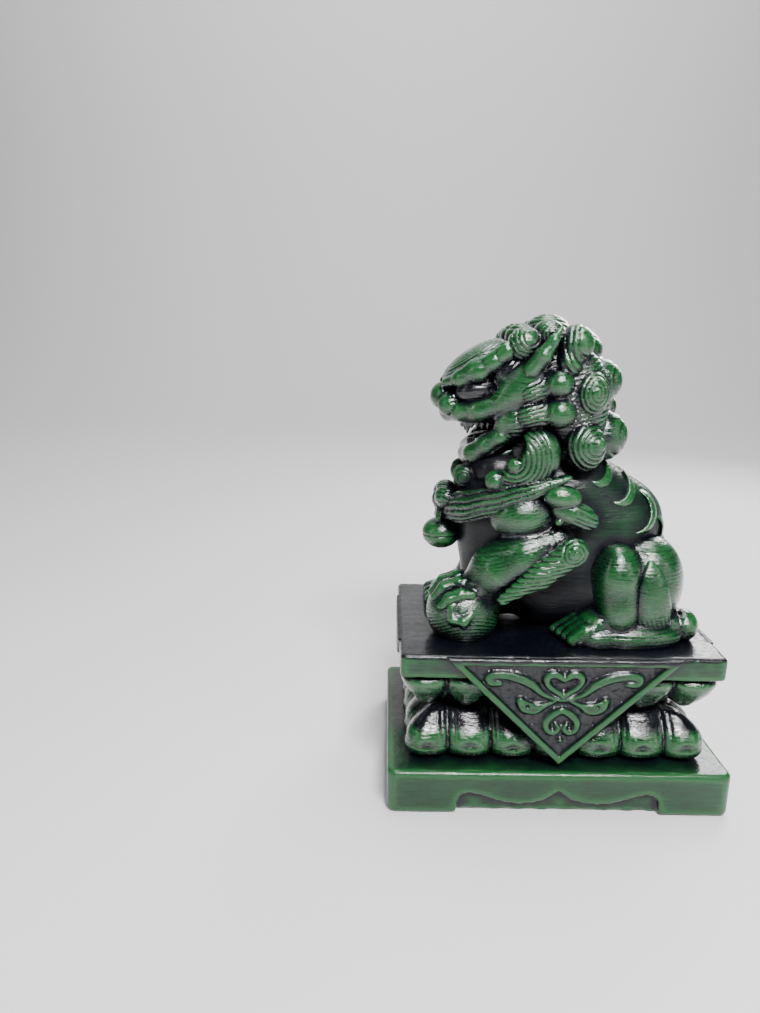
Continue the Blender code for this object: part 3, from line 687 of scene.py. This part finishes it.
def make_collar():
    """The open band with ridges along it, its knot and its bell."""

    def field(p):
        lean = 11.2 / 27.5
        height = p.z - 53.4 - lean * (p.x + 8)
        around = np.hypot((p.x + 8) / 27.5, p.y / 22.0)
        out = (around - 1) * 25
        angle = np.arctan2(p.y, -(p.x + 8) / 1.25)
        turn = np.abs(angle) / math.radians(108)
        tall = np.interp(turn, [0, 0.3, 0.6, 0.85, 1.0], [4.8, 5.6, 4.8, 2.9, 1.0])
        height = height + 0.8 * ramp(turn, 0.4, 1)
        band = (np.hypot(out / 2.9, height / tall) - 1) * 2.6
        end = (turn - 1) * 30
        ridge = 0.42 * lines(height / tall * 4.4 + 0.15 * np.sin(angle * 16), 1.75) * ramp(tall, 1, 2.4)
        fret = lines(angle * 22, 3.6, 3) * (np.abs(height) < 1.0)
        return meet(0.8, band * 0.9 + ridge + 0.25 * fret, end)

    sculpt("collar", field, (-39, -25.5, 37), (3, 25.5, 61.5), 0.4, 0.02)

    def bell(p):
        body = egg(p, (-38.2, 0, 31.6), (6.7, 6.3, 5.6))
        band = 0.4 * lines(p.z - 31.4, 40, 60) + 0.25 * lines(p.z - 30.2, 40, 90)
        slot = np.maximum(np.abs(p.y) - 0.5, p.z - 29)
        return meet(0.4, body + band, -np.maximum(slot, 26.0 - p.z))

    sculpt("bell", bell, (-45.2, -6.6, 25.8), (-31.2, 6.6, 37.6), 0.36, 0.32)

    def knot(p):
        loops = [egg(p, (-37.4, y, 45.4), (3.6, 4.2, 4.0), yaw=t) for y, t in ((-4.2, 25), (4.2, -25))]
        tie = egg(p, (-39, 0, 43.8), (2.8, 2.8, 3.6))
        top = egg(p, (-37.0, 0, 48.0), (3.4, 4.6, 2.6))
        cord = limb(p, (-38.6, 0, 42), (-38.7, 0, 37), 2.0, 1.7)
        tails = [limb(p, (-38.4, s * 1.6, 42), (-39.4, s * 3.4, 37.4), 1.5, 1.2) for s in (-1, 1)]
        twist = 0.35 * lines(p.z + 0.8 * p.y + 0.6 * p.x, 1.7)
        return melt(0.4, melt(0.5, tie, top, *loops) + twist, cord, *tails)

    sculpt("collar_knot", knot, (-42.4, -9.5, 35), (-32, 9.5, 51), 0.34, 0.0)


def make_head():
    def field(p):
        side = p.folded()
        skull = melt(
            4,
            egg(p, (0, 0, 80), (18, 17, 18.5)),
            egg(p, (-16, 0, 86), (12.5, 13.5, 10)),
            limb(p, (-14, 0, 84), (-32, 0, 79), 8.5, 5.4),
            egg(p, (-25, 0, 76.5), (13, 9.5, 5)),
            egg(p, (-7, 0, 62), (13, 13, 12)),
        )
        lip = chain(side, [(-36.5, -3, 74.6), (-33, -7.2, 75.4), (-27.5, -9.8, 76.2), (-21, -12.0, 78.6)],
                    [3.4, 3.6, 3.8, 4.6], 1.5)
        cheek = melt(3, egg(side, (-16.4, -13.4, 81.8), (7.0, 5.2, 6.4)),
                     egg(side, (-12.8, -14.6, 86.8), (5.6, 4.8, 6.8), pitch=30))
        temple_fill = egg(side, (-18.4, -11.6, 89.6), (6.4, 4.4, 4.2), pitch=-35)
        gill = egg(side, (-15.6, -13.2, 73.4), (5.6, 5.0, 6.0))
        comb = 0.42 * lines(p.z - 0.12 * p.x, 1.45) * ramp(p.x, -19.5, -16.5)
        corner = chain(side, [(-15, -14, 78), (-19.0, -13.0, 73), (-20, -12.4, 69)], [3.6, 3.4, 3.2], 1.5)
        body = melt(1.6, skull, lip, temple_fill)
        body = melt(1.0, melt(2.4, body, cheek), corner)
        body = melt(0.8, body, gill + comb)
        socket = egg(side, (-29.4, -13.8, 82.6), (6.8, 4.4, 2.8), pitch=-12)
        body = meet(0.9, body, -socket)
        mouth = melt(1, egg(p, (-27, 0, 69.2), (12, 9.4, 3.2), pitch=-10), egg(p, (-33, 0, 66.5), (7, 7, 4)))
        body = meet(0.8, body, -mouth)
        lash = 0.2 * lines(p.z - 0.1 * p.x, 1.2) * ramp(p.x, -34, -32) * (1 - ramp(p.x, -24, -21.5))
        lash = lash * ramp(p.z, 79.5, 80.5) * ramp(np.abs(p.y), 6, 7)
        temple = 0.4 * lines(p.x * 0.7 - p.z * 0.7, 1.3) * ramp(p.z - 0.5 * p.x, 98, 99.5) * ramp(p.x, -22,
                                                                                                  -20)
        return body + lash + temple * (1 - ramp(p.x, -13, -11)) + 0.1 * waver(p, 3, 2)

    def shade(p):
        side = Points(p.x, -np.abs(p.y), p.z - FLOOR)
        mouth = -egg(side, (-27, -3, 68.6), (12.5, 13, 4.2), pitch=-10)
        eye = -egg(side, (-28.4, -11.6, 82.8), (7.8, 7.0, 3.4), pitch=-12)
        temple = -egg(side, (-19, -14.6, 90.6), (4.6, 5, 2.0), pitch=-35)
        neck = ramp(68 - side.z + 0.8 * (side.x + 18), 0, 3)
        dark = np.maximum(np.maximum(ramp(mouth, -0.5, 0.8), ramp(eye, -0.4, 0.6)), ramp(temple, -0.6, 0.6))
        return 0.9 * np.maximum(dark, 0.7 * neck)

    sculpt("head", field, (-41, -21, 50), (19, 21, 99.5), 0.4, 0.14, dark=shade)


def make_face():
    """Eyes, nose, brow, ears, jaw, teeth and tongue."""
    def eye(p):
        ball = egg(p, (-28.6, -8.8, 82.8), (7.0, 4.8, 4.2), pitch=-14)
        return ball + 0.14 * lines(p.z - 0.1 * p.x + 0.3 * waver(p, 2, 1), 1.1)

    sculpt_pair("eye", eye, (-36.4, -14.4, 77.5), (-21, -3.5, 88), 0.3, -0.75)

    def nose(p):
        side = p.folded()
        tip = egg(p, (-38.9, 0, 79.7), (4.3, 5.4, 4.7))
        wing = egg(side, (-36.6, -5.8, 77.2), (4.3, 3.9, 4.1))
        bridge = egg(side, (-34.6, -4.8, 79.4), (4.2, 3.6, 2.6), pitch=10)
        hole = egg(side, (-40.6, -4.4, 76.2), (1.6, 1.4, 1.1))
        curl = 0.35 * rings(p.x + 35.6, p.z - 77.0, 1.5) * ramp(p.x, -37.5, -36) * ramp(np.abs(p.y), 5, 6)
        return meet(0.5, melt(0.9, tip, melt(0.8, wing, bridge)) + curl, -hole)

    sculpt("nose", nose, (-43.6, -10, 72.6), (-30, 10, 85), 0.3, 0.15)

    def crest(p):
        side = p.folded()
        q = p.about((-28.5, 0, 91), pitch=-33)
        flat = np.hypot(q.x / 12.5, q.y / 12)
        plate = egg(p, (-28.5, 0, 91), (12.6, 12.4, 4.6), pitch=-33)
        plate = plate + 0.42 * lines(flat * 12.2, 1.5) * ramp(flat, 0.3, 0.4) * ramp(q.z, 0, 1)
        middle = 0.6 * np.exp(-(q.y / 0.7) ** 2) * ramp(q.z, 0, 1)
        roll = chain(side,
                     [(-38.0, -5, 84.4), (-33.6, -10.2, 86.2), (-28.4, -13.0, 88.6), (-24.4, -14.0, 91.6),
                            (-20.2, -14.6, 95.0)], [1.7, 2.7, 3.0, 2.7, 3.3], 1.6)
        swell = egg(side, (-29.4, -11.8, 89.6), (4.6, 3.4, 3.0), pitch=-28)
        away = np.hypot(p.x + 20.8, p.z - 94.4)
        seam = 0.3 * lines(away, 1.5) * ramp(away, 1.8, 2.6) * (1 - ramp(away, 3.6, 4.4))
        return melt(0.4, plate + middle, melt(1.4, roll, swell) + seam)

    sculpt("brow_crest", crest, (-41.5, -19, 81.4), (-14.5, 19, 101), 0.34, 0.15)

    def ear(p):
        """A pointed leaf that leans back, rolled forward along its front edge and hollow behind it."""
        front = chain(p,
                      [(-12.4, -17.6, 89.6), (-9.6, -19.6, 94.0), (-6.8, -20.2, 98.6), (-4.2, -19.4, 103.0)],
                      [3.1, 2.7, 1.7, 0.45], 0.8)
        web = egg(p, (-8.4, -17.8, 94.6), (2.6, 1.5, 6.0), pitch=33)
        return melt(0.8, front, web)

    sculpt_pair("ear", ear, (-15.6, -23, 86.5), (-2.0, -15.4, 104), 0.3, 0.15)

    def jaw(p):
        side = p.folded()
        rail = chain(side,
                     [(-16, -12.6, 71.0), (-20.5, -12.2, 67.8), (-24.6, -9.8, 64.6), (-28.4, -6.4, 61.0),
                            (-29.8, 0, 60.0)], [3.3, 3.3, 3.4, 3.5, 3.4], 1)
        floor = egg(p, (-18.5, 0, 61.4), (10, 10, 3.6), pitch=-18)
        chin = egg(p, (-27.4, 0, 58.6), (4.2, 5.6, 3.4))
        hair = 0.3 * lines(p.x * 0.8 + p.z, 1.6) * ramp(p.x, -21, -18)
        return melt(1.2, rail + hair, floor, chin)

    def jaw_shade(p):
        z = p.z - FLOOR
        return 0.8 * ramp(-(z - 60.5 + 0.75 * (p.x + 28)), 1.5, 4) * ramp(p.x, -29, -26)

    sculpt("lower_jaw", jaw, (-34, -16.4, 53.5), (-8, 16.4, 75), 0.34, 0.12, dark=jaw_shade)

    def tongue(p):
        body = egg(p, (-23.2, 0, 66.4), (7.2, 4.4, 1.6), pitch=-6)
        return body + 0.35 * np.exp(-(p.y / 0.5) ** 2) * ramp(p.z, 66, 67)

    sculpt("tongue", tongue, (-31, -5, 64), (-15.5, 5, 69), 0.3, -0.8)

    for name, level, lean, reach in (("upper_teeth", 71.2, -1, 0.0), ("lower_teeth", 63.6, 1, 2.6)):
        def teeth(p, level=level, lean=lean, reach=reach):
            parts = []
            for step in range(-7, 8):
                angle = math.radians(80) * step / 7
                at = (-22.0 + reach - 10 * math.cos(angle), 7.0 * math.sin(angle), level)
                fang = 3.6 if abs(step) == 3 else 1.7
                width = 1.25 if abs(step) == 3 else 0.95
                parts.append(limb(p, (at[0], at[1], level), (at[0] - 0.3, at[1], level + lean * fang), width,
                                  0.35))
            return melt(0.5, *parts)

        sculpt(name, teeth, (-33.5, -9, level - 4.4), (-18, 9, level + 4.4), 0.3, -0.4)


def lock(p, ball, radii, tail, tail_radius):
    """A curl with a smooth ball at its end and hair lines that run into it."""
    head = egg(p, ball, radii)
    root = (ball[0] - 1.0, ball[1] + 1.6, ball[2])
    stem = limb(p, root, tail, radii[2] * 0.9, tail_radius)
    u, v = p.x - ball[0], p.z - ball[2]
    run = math.hypot(tail[0] - ball[0], tail[2] - ball[2])
    across = (u * (tail[2] - ball[2]) - v * (tail[0] - ball[0])) / run
    along = (u * (tail[0] - ball[0]) + v * (tail[2] - ball[2])) / run
    ring = np.hypot(u, v) - radii[0]
    wrap = ramp(along, 1.5, 6.5)
    return melt(0.3, head, stem + 0.5 * lines((1 - wrap) * ring + wrap * (across + 0.012 * along ** 2), 1.5))


def make_mane():
    def side(p):
        shell = melt(3, egg(p, (-3, -13.0, 82), (9.5, 5.4, 14)), egg(p, (4, -12, 78), (10, 7.6, 18)))
        shell = shell + 0.4 * lines(p.z - 0.3 * p.x, 1.5)
        away = np.hypot(p.x + 13.4, p.z - 99.6)
        temple_curl = egg(p, (-14.6, -14.6, 97.4), (5.6, 5.2, 5.4)) + 0.45 * lines(away, 1.35) * ramp(away,
                                                                                                      1.2, 2)
        top_curl = egg(p, (-7.0, -13.6, 100.4), (5.2, 5.0, 4.6)) + whorl(p, (-6.6, 100.4), 1.4, 0.4, 5.2)
        ear_curl = melt(1.5, egg(p, (1.2, -15.0, 97.4), (5.8, 5.8, 6.2)),
                        egg(p, (-0.8, -17.2, 91.6), (3.6, 3.6, 4.6), pitch=-20))
        u, v = p.x - 4.0, p.z - 98.4
        ear_curl = ear_curl + 0.42 * rings(u, v * 0.7, 1.7) * ramp(np.hypot(u, v), 2.6, 3.4)
        upper_lock = lock(p, (-4.0, -18.4, 85.2), (4.7, 4.6, 4.6), (-12.4, -16.4, 82.6), 4.2)
        lower_lock = lock(p, (-3.2, -18.8, 76.2), (5.0, 4.6, 5.0), (-12.6, -16.8, 75.2), 4.2)
        upper_snail = egg(p, (6.6, -15.8, 82.0), (6.0, 6.4, 7.4)) + whorl(p, (7.6, 82.8), 1.45, 0.45, 8, 1,
                                                                          (0.85, 1.1))
        lower_snail = egg(p, (5.8, -16.6, 65.4), (6.9, 6.8, 8.2))
        lower_snail = lower_snail + whorl(p, (8.4, 66.4), 1.55, 0.45, 12, 0, (1.0, 1.08), 1.3)
        knob = egg(p, (8.8, -21.2, 66.4), (2.5, 2.0, 2.6))
        return melt(0.5, shell, temple_curl, top_curl, ear_curl, upper_lock, lower_lock, upper_snail,
                    melt(0.4, lower_snail, knob))

    sculpt_pair("mane", side, (-21, -24.6, 55.5), (15.5, -5, 105.4), 0.34, 0.1)

    def crown(p):
        away = np.hypot((p.x + 5) / 1.1, p.y)
        top = egg(p, (-5, 0, 100.4), (8, 8.6, 6.4)) + 0.42 * lines(away, 1.6) * ramp(away, 1.8, 2.4)
        rear = egg(p, (4.6, 0, 95.4), (9, 10, 7)) + 0.4 * rings(p.x - 6, p.y, 1.7) * ramp(p.z, 94, 96)
        pair = []
        for sign in (-1, 1):
            swirl = snail(p.x + 14.6, p.y - sign * 5.4, 1.5)
            pair.append(egg(p, (-14.6, sign * 5.4, 98.8), (5.2, 5, 4.9)) + 0.4 * swirl)
        return melt(0.5, top, rear, *pair)

    sculpt("crown_curls", crown, (-20, -10.8, 87), (14, 10.8, 107.3), 0.36, 0.08)

    def back(p):
        side = p.folded()
        shell = egg(p, (8, 0, 79), (10, 12, 17)) + 0.35 * lines(p.z, 1.7)
        curls = []
        for y, z, r in ((-7, 85.4, (7.4, 6.6, 7.4)), (-7.2, 67.6, (8.0, 6.8, 8.4))):
            x = 11.6 if z > 80 else 14.2
            coils = snail(side.y - y, p.z - z, 1.6)
            curls.append(egg(side, (x, y, z), r) + 0.42 * coils * ramp(p.x, x, x + 2))
        middle = egg(p, (15, 0, 76.5), (5, 4.4, 5)) + 0.4 * rings(p.z - 76.5, p.y, 1.5)
        return melt(0.5, shell, middle, *curls)

    sculpt("back_curls", back, (-2.5, -14.5, 58), (22.8, 14.5, 96.5), 0.36, 0.05)


def make_beard():
    def swirl(p):
        fan = egg(p, (-10.0, -18.4, 61.6), (8.2, 4.9, 9.6), pitch=16)
        foot = egg(p, (-13.0, -18.6, 56.6), (7.4, 4.6, 4.6), pitch=-8)
        stalk = limb(p, (-16.4, -18.6, 56.2), (-20.6, -17.6, 54.6), 3.2, 2.4)
        body = melt(2, fan, foot, stalk)
        away = np.hypot(p.x + 17.4, (p.z - 61.4) / 1.1)
        notch = np.hypot(p.x + 20.0, (p.z - 66.0)) - 6.4
        arcs = lines(away - 0.5, 1.6) * ramp(away, 2.8, 3.4) * (1 - ramp(away, 11.4, 12.2))
        body = meet(1.0, body + 0.5 * arcs, -notch)
        knob = egg(p, (-16.8, -20.6, 59.6), (2.5, 2.4, 2.4)) + whorl(p, (-16.8, 59.6), 1.2, 0.3, 2.4)
        ball = egg(p, (-22.4, -17.6, 53.9), (3.5, 3.5, 3.5)) + whorl(p, (-22.4, 53.9), 1.5, 0.3, 3.4)
        return melt(0.4, body, knob, ball)

    sculpt_pair("beard_swirl", swirl, (-26.4, -24.2, 50), (-0.5, -13, 73), 0.34, 0.15)

    def beard(p):
        side = p.folded()
        core = egg(p, (-20, 0, 55.6), (11.2, 13.4, 8.4))
        curl = egg(side, (-31.4, -6.6, 53.0), (3.7, 3.4, 4.2)) + whorl(p, (-31.8, 53.2), 1.3, 0.4, 3.8)
        front = egg(p, (-32, 0, 52.4), (2.8, 3.4, 3.6)) + 0.35 * rings(p.y, p.z - 52.4, 1.3)
        return melt(0.4, core, curl, front)

    def beard_shade(p):
        return 0.5 * ramp(p.x, -29.5, -27.5)

    sculpt("chin_beard", beard, (-36, -14, 46.5), (-8.5, 14, 64.5), 0.34, 0.05, dark=beard_shade)


# ---------------------------------------------------------------- paint

AIR_STEP = 1.2
FAR = 20.0
REACH = 9
OPEN_FACE, FINE_WEIGHT, BROAD_WEIGHT = 0.7, 4.2, 0.55
# How much painted shade the faces turned down get.
UNDERSIDE_SHADE_WEIGHT = 0.3


def open_air():
    """A coarse grid of the distance to the nearest piece, to find where the brush could not reach and where
    shade falls; both are painted dark.
    """
    low = np.array(CAD_BOX[0]) * 1000 - 14
    high = np.array(CAD_BOX[1]) * 1000 + 14
    axes = [np.arange(a, b, AIR_STEP) for a, b in zip(low, high)]
    air = np.full(tuple(len(a) for a in axes), FAR, np.float32)
    for field, near, far in FIELDS:
        first = [int(np.searchsorted(a, n - REACH)) for a, n in zip(axes, near)]
        last = [int(np.searchsorted(a, f + REACH)) for a, f in zip(axes, far)]
        part = tuple(slice(i, j) for i, j in zip(first, last))
        x, y, z = np.meshgrid(*[a[s] for a, s in zip(axes, part)], indexing="ij")
        air[part] = np.minimum(air[part], field(Points(x, y, z)))
    return low, air


def look_up(low, air, points):
    """The grid's value at each point, blended between its eight neighbours."""
    place = np.clip((points - low) / AIR_STEP, 0, np.array(air.shape) - 1.001)
    cell = place.astype(int)
    part = place - cell
    value = np.zeros(len(points))
    for dx, dy, dz in CORNERS:
        share = np.abs(1 - dx - part[:, 0]) * np.abs(1 - dy - part[:, 1]) * np.abs(1 - dz - part[:, 2])
        value += share * air[cell[:, 0] + dx, cell[:, 1] + dy, cell[:, 2] + dz]
    return value


def crevice_wash_and_shade(piece, low, air):
    """0 in the open, towards 1 in a crevice, where black wash and painted shade darken the paint."""
    total = np.zeros(len(piece.at))
    for reach, share in ((1.5, 0.25), (3, 0.3), (6, 0.3), (10, 0.15)):
        clear = look_up(low, air, piece.at + piece.normal * reach)
        total += share * np.clip((reach - clear) / reach, 0, 1)
    return total


def green_with_painted_shade(piece, low, air):
    """How much green each vertex takes: 1 on ridges and open faces, 0 or less in grooves and crevices.
    Crevices and faces turned down also get painted shade, and the piece's dark function adds black paint or
    painted shade.
    """
    brush, dark, crevice_wash_and_shade_weight = piece.look
    fine = np.clip(piece.hollow(3), -0.15, 0.3)
    broad = np.clip(piece.hollow(24), -0.6, 0.9)
    value = OPEN_FACE + brush - FINE_WEIGHT * fine - BROAD_WEIGHT * broad
    # Crevices are darkened: black wash and painted shade.
    value = value - crevice_wash_and_shade_weight * crevice_wash_and_shade(piece, low, air)
    # Faces turned down are darkened as painted shade.
    value = value - UNDERSIDE_SHADE_WEIGHT * ramp(-piece.normal[:, 2], 0.1, 0.9)
    if dark:
        # The dark function paints black paint on some pieces and painted shade on others.
        value = value - dark(Points(*piece.at.T))
    return value


def wet_paint(name, coat, roughness):
    """Gloss paint: green brushed sideways over black, so that the black stays in the hollows. The amount of
    green it reads also carries painted shade.
    """
    material = bpy.data.materials.new(name)
    material.use_nodes = True
    nodes, links = material.node_tree.nodes, material.node_tree.links
    shader = nodes["Principled BSDF"]
    shader.inputs["IOR"].default_value = 1.5
    shader.inputs["Specular IOR Level"].default_value = 0.15
    shader.inputs["Coat Weight"].default_value = coat
    shader.inputs["Coat Roughness"].default_value = 0.06
    shader.inputs["Coat IOR"].default_value = 1.6

    place = nodes.new("ShaderNodeTexCoord")

    def noise(stretch, scale, detail, rough=0.6):
        shape = nodes.new("ShaderNodeMapping")
        shape.inputs["Scale"].default_value = stretch
        links.new(place.outputs["Object"], shape.inputs["Vector"])
        texture = nodes.new("ShaderNodeTexNoise")
        texture.inputs["Scale"].default_value = scale
        texture.inputs["Detail"].default_value = detail
        texture.inputs["Roughness"].default_value = rough
        links.new(shape.outputs["Vector"], texture.inputs["Vector"])
        return texture.outputs["Fac"]

    def maths(kind, a, b, c=None):
        node = nodes.new("ShaderNodeMath")
        node.operation = kind
        for socket, value in zip(node.inputs, (a, b, c)):
            if isinstance(value, (int, float)):
                socket.default_value = value
            elif value is not None:
                links.new(value, socket)
        return node.outputs[0]

    streaks = noise((1, 1, 10), 130, 5, 0.7)
    patches = noise((1, 1, 1.6), 90, 3, 0.5)
    grain = noise((1, 1, 3), 620, 3, 0.65)
    height = nodes.new("ShaderNodeAttribute")
    height.attribute_name = "green_with_painted_shade"
    amount = maths("MULTIPLY_ADD", streaks, 0.8, maths("ADD", height.outputs["Fac"], -0.4))
    amount = maths("MULTIPLY_ADD", patches, 0.35, maths("ADD", amount, -0.175))

    tones = nodes.new("ShaderNodeValToRGB")
    ramp_stops = (
        (0.12, (0.0014, 0.0020, 0.0042)),
        (0.32, (0.0018, 0.0066, 0.0058)),
        (0.54, (0.0024, 0.0190, 0.0072)),
        (0.78, (0.0036, 0.0400, 0.0105)),
        (1.00, (0.0080, 0.0720, 0.0180)),
    )
    stops = tones.color_ramp.elements
    while len(stops) < len(ramp_stops):
        stops.new(0.5)
    for stop, (at, colour) in zip(stops, ramp_stops):
        stop.position = at
        stop.color = (*colour, 1)
    links.new(amount, tones.inputs["Fac"])
    links.new(tones.outputs["Color"], shader.inputs["Base Color"])

    def spread(value, low, high, bottom=0.0, top=1.0):
        part = nodes.new("ShaderNodeMapRange")
        for socket, number in zip(("From Min", "From Max", "To Min", "To Max"), (low, high, bottom, top)):
            part.inputs[socket].default_value = number
        links.new(value, part.inputs["Value"])
        return part.outputs["Result"]

    links.new(spread(grain, 0.35, 0.65, roughness, roughness + 0.16), shader.inputs["Roughness"])
    relief = maths("MULTIPLY_ADD", spread(streaks, 0.4, 0.95), 0.9, spread(grain, 0.55, 0.95))
    bump = nodes.new("ShaderNodeBump")
    bump.inputs["Strength"].default_value = 0.3
    bump.inputs["Distance"].default_value = 0.0004
    links.new(relief, bump.inputs["Height"])
    links.new(bump.outputs["Normal"], shader.inputs["Normal"])
    links.new(bump.outputs["Normal"], shader.inputs["Coat Normal"])
    return material


def show(piece, values, material):
    """Turns a skin into an object that stands for its CAD node."""
    mesh = bpy.data.meshes.new(piece.name + "_surface")
    count = len(piece.quads)
    mesh.vertices.add(len(piece.at))
    mesh.vertices.foreach_set("co", (piece.at / 1000).astype(np.float32).ravel())
    mesh.loops.add(4 * count)
    mesh.loops.foreach_set("vertex_index", piece.quads.astype(np.int32).ravel())
    mesh.polygons.add(count)
    mesh.polygons.foreach_set("loop_start", np.arange(0, 4 * count, 4, dtype=np.int32))
    mesh.update(calc_edges=True)
    mesh.polygons.foreach_set("use_smooth", np.ones(count, bool))
    amount = mesh.attributes.new("green_with_painted_shade", "FLOAT", "POINT")
    amount.data.foreach_set("value", values.astype(np.float32))
    mesh.materials.append(material)
    piece_object = bpy.data.objects.new(piece.name + "_surface", mesh)
    bpy.context.scene.collection.objects.link(piece_object)
    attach(piece_object, "root")
    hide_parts(piece.name)


# ---------------------------------------------------------------- put together

make_plinth()
make_slab()
make_course("lotus_lower_course", (50.5, 32.8), upward=True)
make_course("lotus_upper_course", (52.0, 34.0), upward=False)
for cloth, side, (width, drop) in (("left_drape", 0, LONG_DRAPE), ("rear_drape", 1, SHORT_DRAPE),
                                   ("right_drape", 2, LONG_DRAPE), ("front_drape", 3, SHORT_DRAPE)):
    make_drape(cloth, side, width, drop)
make_ball()
make_torso()
make_hind_leg()
make_thigh_tuft()
make_left_foreleg()
make_right_foreleg()
make_elbow_tufts()
make_shoulder_tuft()
make_spine_ridge()
make_tail()
make_collar()
make_head()
make_face()
make_mane()
make_beard()

corner, around = open_air()
paint = wet_paint("brushed_gloss_paint", 1.0, 0.2)
worn_paint = wet_paint("slab_paint", 0.6, 0.34)
thin_paint = wet_paint("thinly_brushed_paint", 0.32, 0.4)
WORN = ("table_slab", "plinth", "left_drape", "right_drape")
THIN = ("torso", "chin_beard", "rear_drape", "front_drape")
for piece in SKINS:
    coat = worn_paint if piece.name in WORN else thin_paint if piece.name in THIN else paint
    show(piece, green_with_painted_shade(piece, corner, around), coat)

# ---------------------------------------------------------------- room, lights and camera


def stage_floor():
    """A pale floor that sweeps up into a pale wall."""
    profile = [(-1.6, 0.0), (0.9, 0.0)]
    for step in range(1, 13):
        turn = math.radians(90) * step / 12
        profile.append((0.9 + 0.7 * math.sin(turn), 0.7 * (1 - math.cos(turn))))
    profile.append((1.6, 2.6))
    corners = [(x, y, z - 0.0002) for y, z in profile for x in (-2.5, 2.5)]
    faces = [(2 * i, 2 * i + 1, 2 * i + 3, 2 * i + 2) for i in range(len(profile) - 1)]
    mesh = bpy.data.meshes.new("floor")
    mesh.from_pydata(corners, [], faces)
    mesh.polygons.foreach_set("use_smooth", [True] * len(faces))
    pale = bpy.data.materials.new("pale_floor")
    pale.use_nodes = True
    shader = pale.node_tree.nodes["Principled BSDF"]
    shader.inputs["Base Color"].default_value = (0.7, 0.7, 0.7, 1)
    shader.inputs["Roughness"].default_value = 0.9
    shader.inputs["Specular IOR Level"].default_value = 0.1
    mesh.materials.append(pale)
    ground = bpy.data.objects.new("floor", mesh)
    bpy.context.scene.collection.objects.link(ground)


def soft_box(name, place, target, size, power):
    light = bpy.data.lights.new(name, "AREA")
    light.shape = "RECTANGLE"
    light.size, light.size_y = size
    light.energy = power
    holder = bpy.data.objects.new(name, light)
    holder.location = place
    holder.rotation_euler = (Vector(target) - Vector(place)).to_track_quat("-Z", "Y").to_euler()
    bpy.context.scene.collection.objects.link(holder)


def make_camera():
    """Looks slightly down on the lion's left side from a quarter of a metre away."""
    yaw, pitch, roll = (math.radians(a) for a in (-0.57, 13.92, 0.48))
    ahead = Vector((math.sin(yaw) * math.cos(pitch), math.cos(yaw) * math.cos(pitch), -math.sin(pitch)))
    right = Vector((math.cos(yaw), -math.sin(yaw), 0))
    up = right.cross(ahead)
    across = math.cos(roll) * right + math.sin(roll) * up
    upward = -math.sin(roll) * right + math.cos(roll) * up
    lens = bpy.data.cameras.new("camera")
    lens.lens, lens.sensor_width, lens.sensor_fit = 26.3, 36, "AUTO"
    lens.clip_start = 0.01
    camera = bpy.data.objects.new("camera", lens)
    turn = Matrix((across, upward, -ahead)).transposed().to_4x4()
    camera.matrix_world = Matrix.Translation((-0.0573, -0.2527, 0.1573)) @ turn
    bpy.context.scene.collection.objects.link(camera)
    bpy.context.scene.camera = camera


stage_floor()
middle = (0, 0, 0.08)
for name, place, target, size, power in (
    ("key", (0.06, -0.40, 0.52), middle, (0.20, 0.10), 8.0),
    ("fill", (-0.55, -0.30, 0.30), middle, (0.08, 0.30), 0.35),
    ("side", (0.50, -0.40, 0.30), middle, (0.08, 0.30), 0.7),
    ("top", (0.05, 0.10, 0.70), middle, (0.30, 0.20), 3.4),
    ("back", (0.30, 0.45, 0.38), middle, (0.20, 0.30), 2.4),
    ("wall_wash", (0, 0.55, 1.2), (0, 1.6, 0.5), (1.6, 0.3), 22),
):
    soft_box(name, place, target, size, power)
world = bpy.data.worlds.new("room")
bpy.context.scene.world = world
world.use_nodes = True
world.node_tree.nodes["Background"].inputs["Color"].default_value = (1, 1, 1, 1)
world.node_tree.nodes["Background"].inputs["Strength"].default_value = 0.07
make_camera()
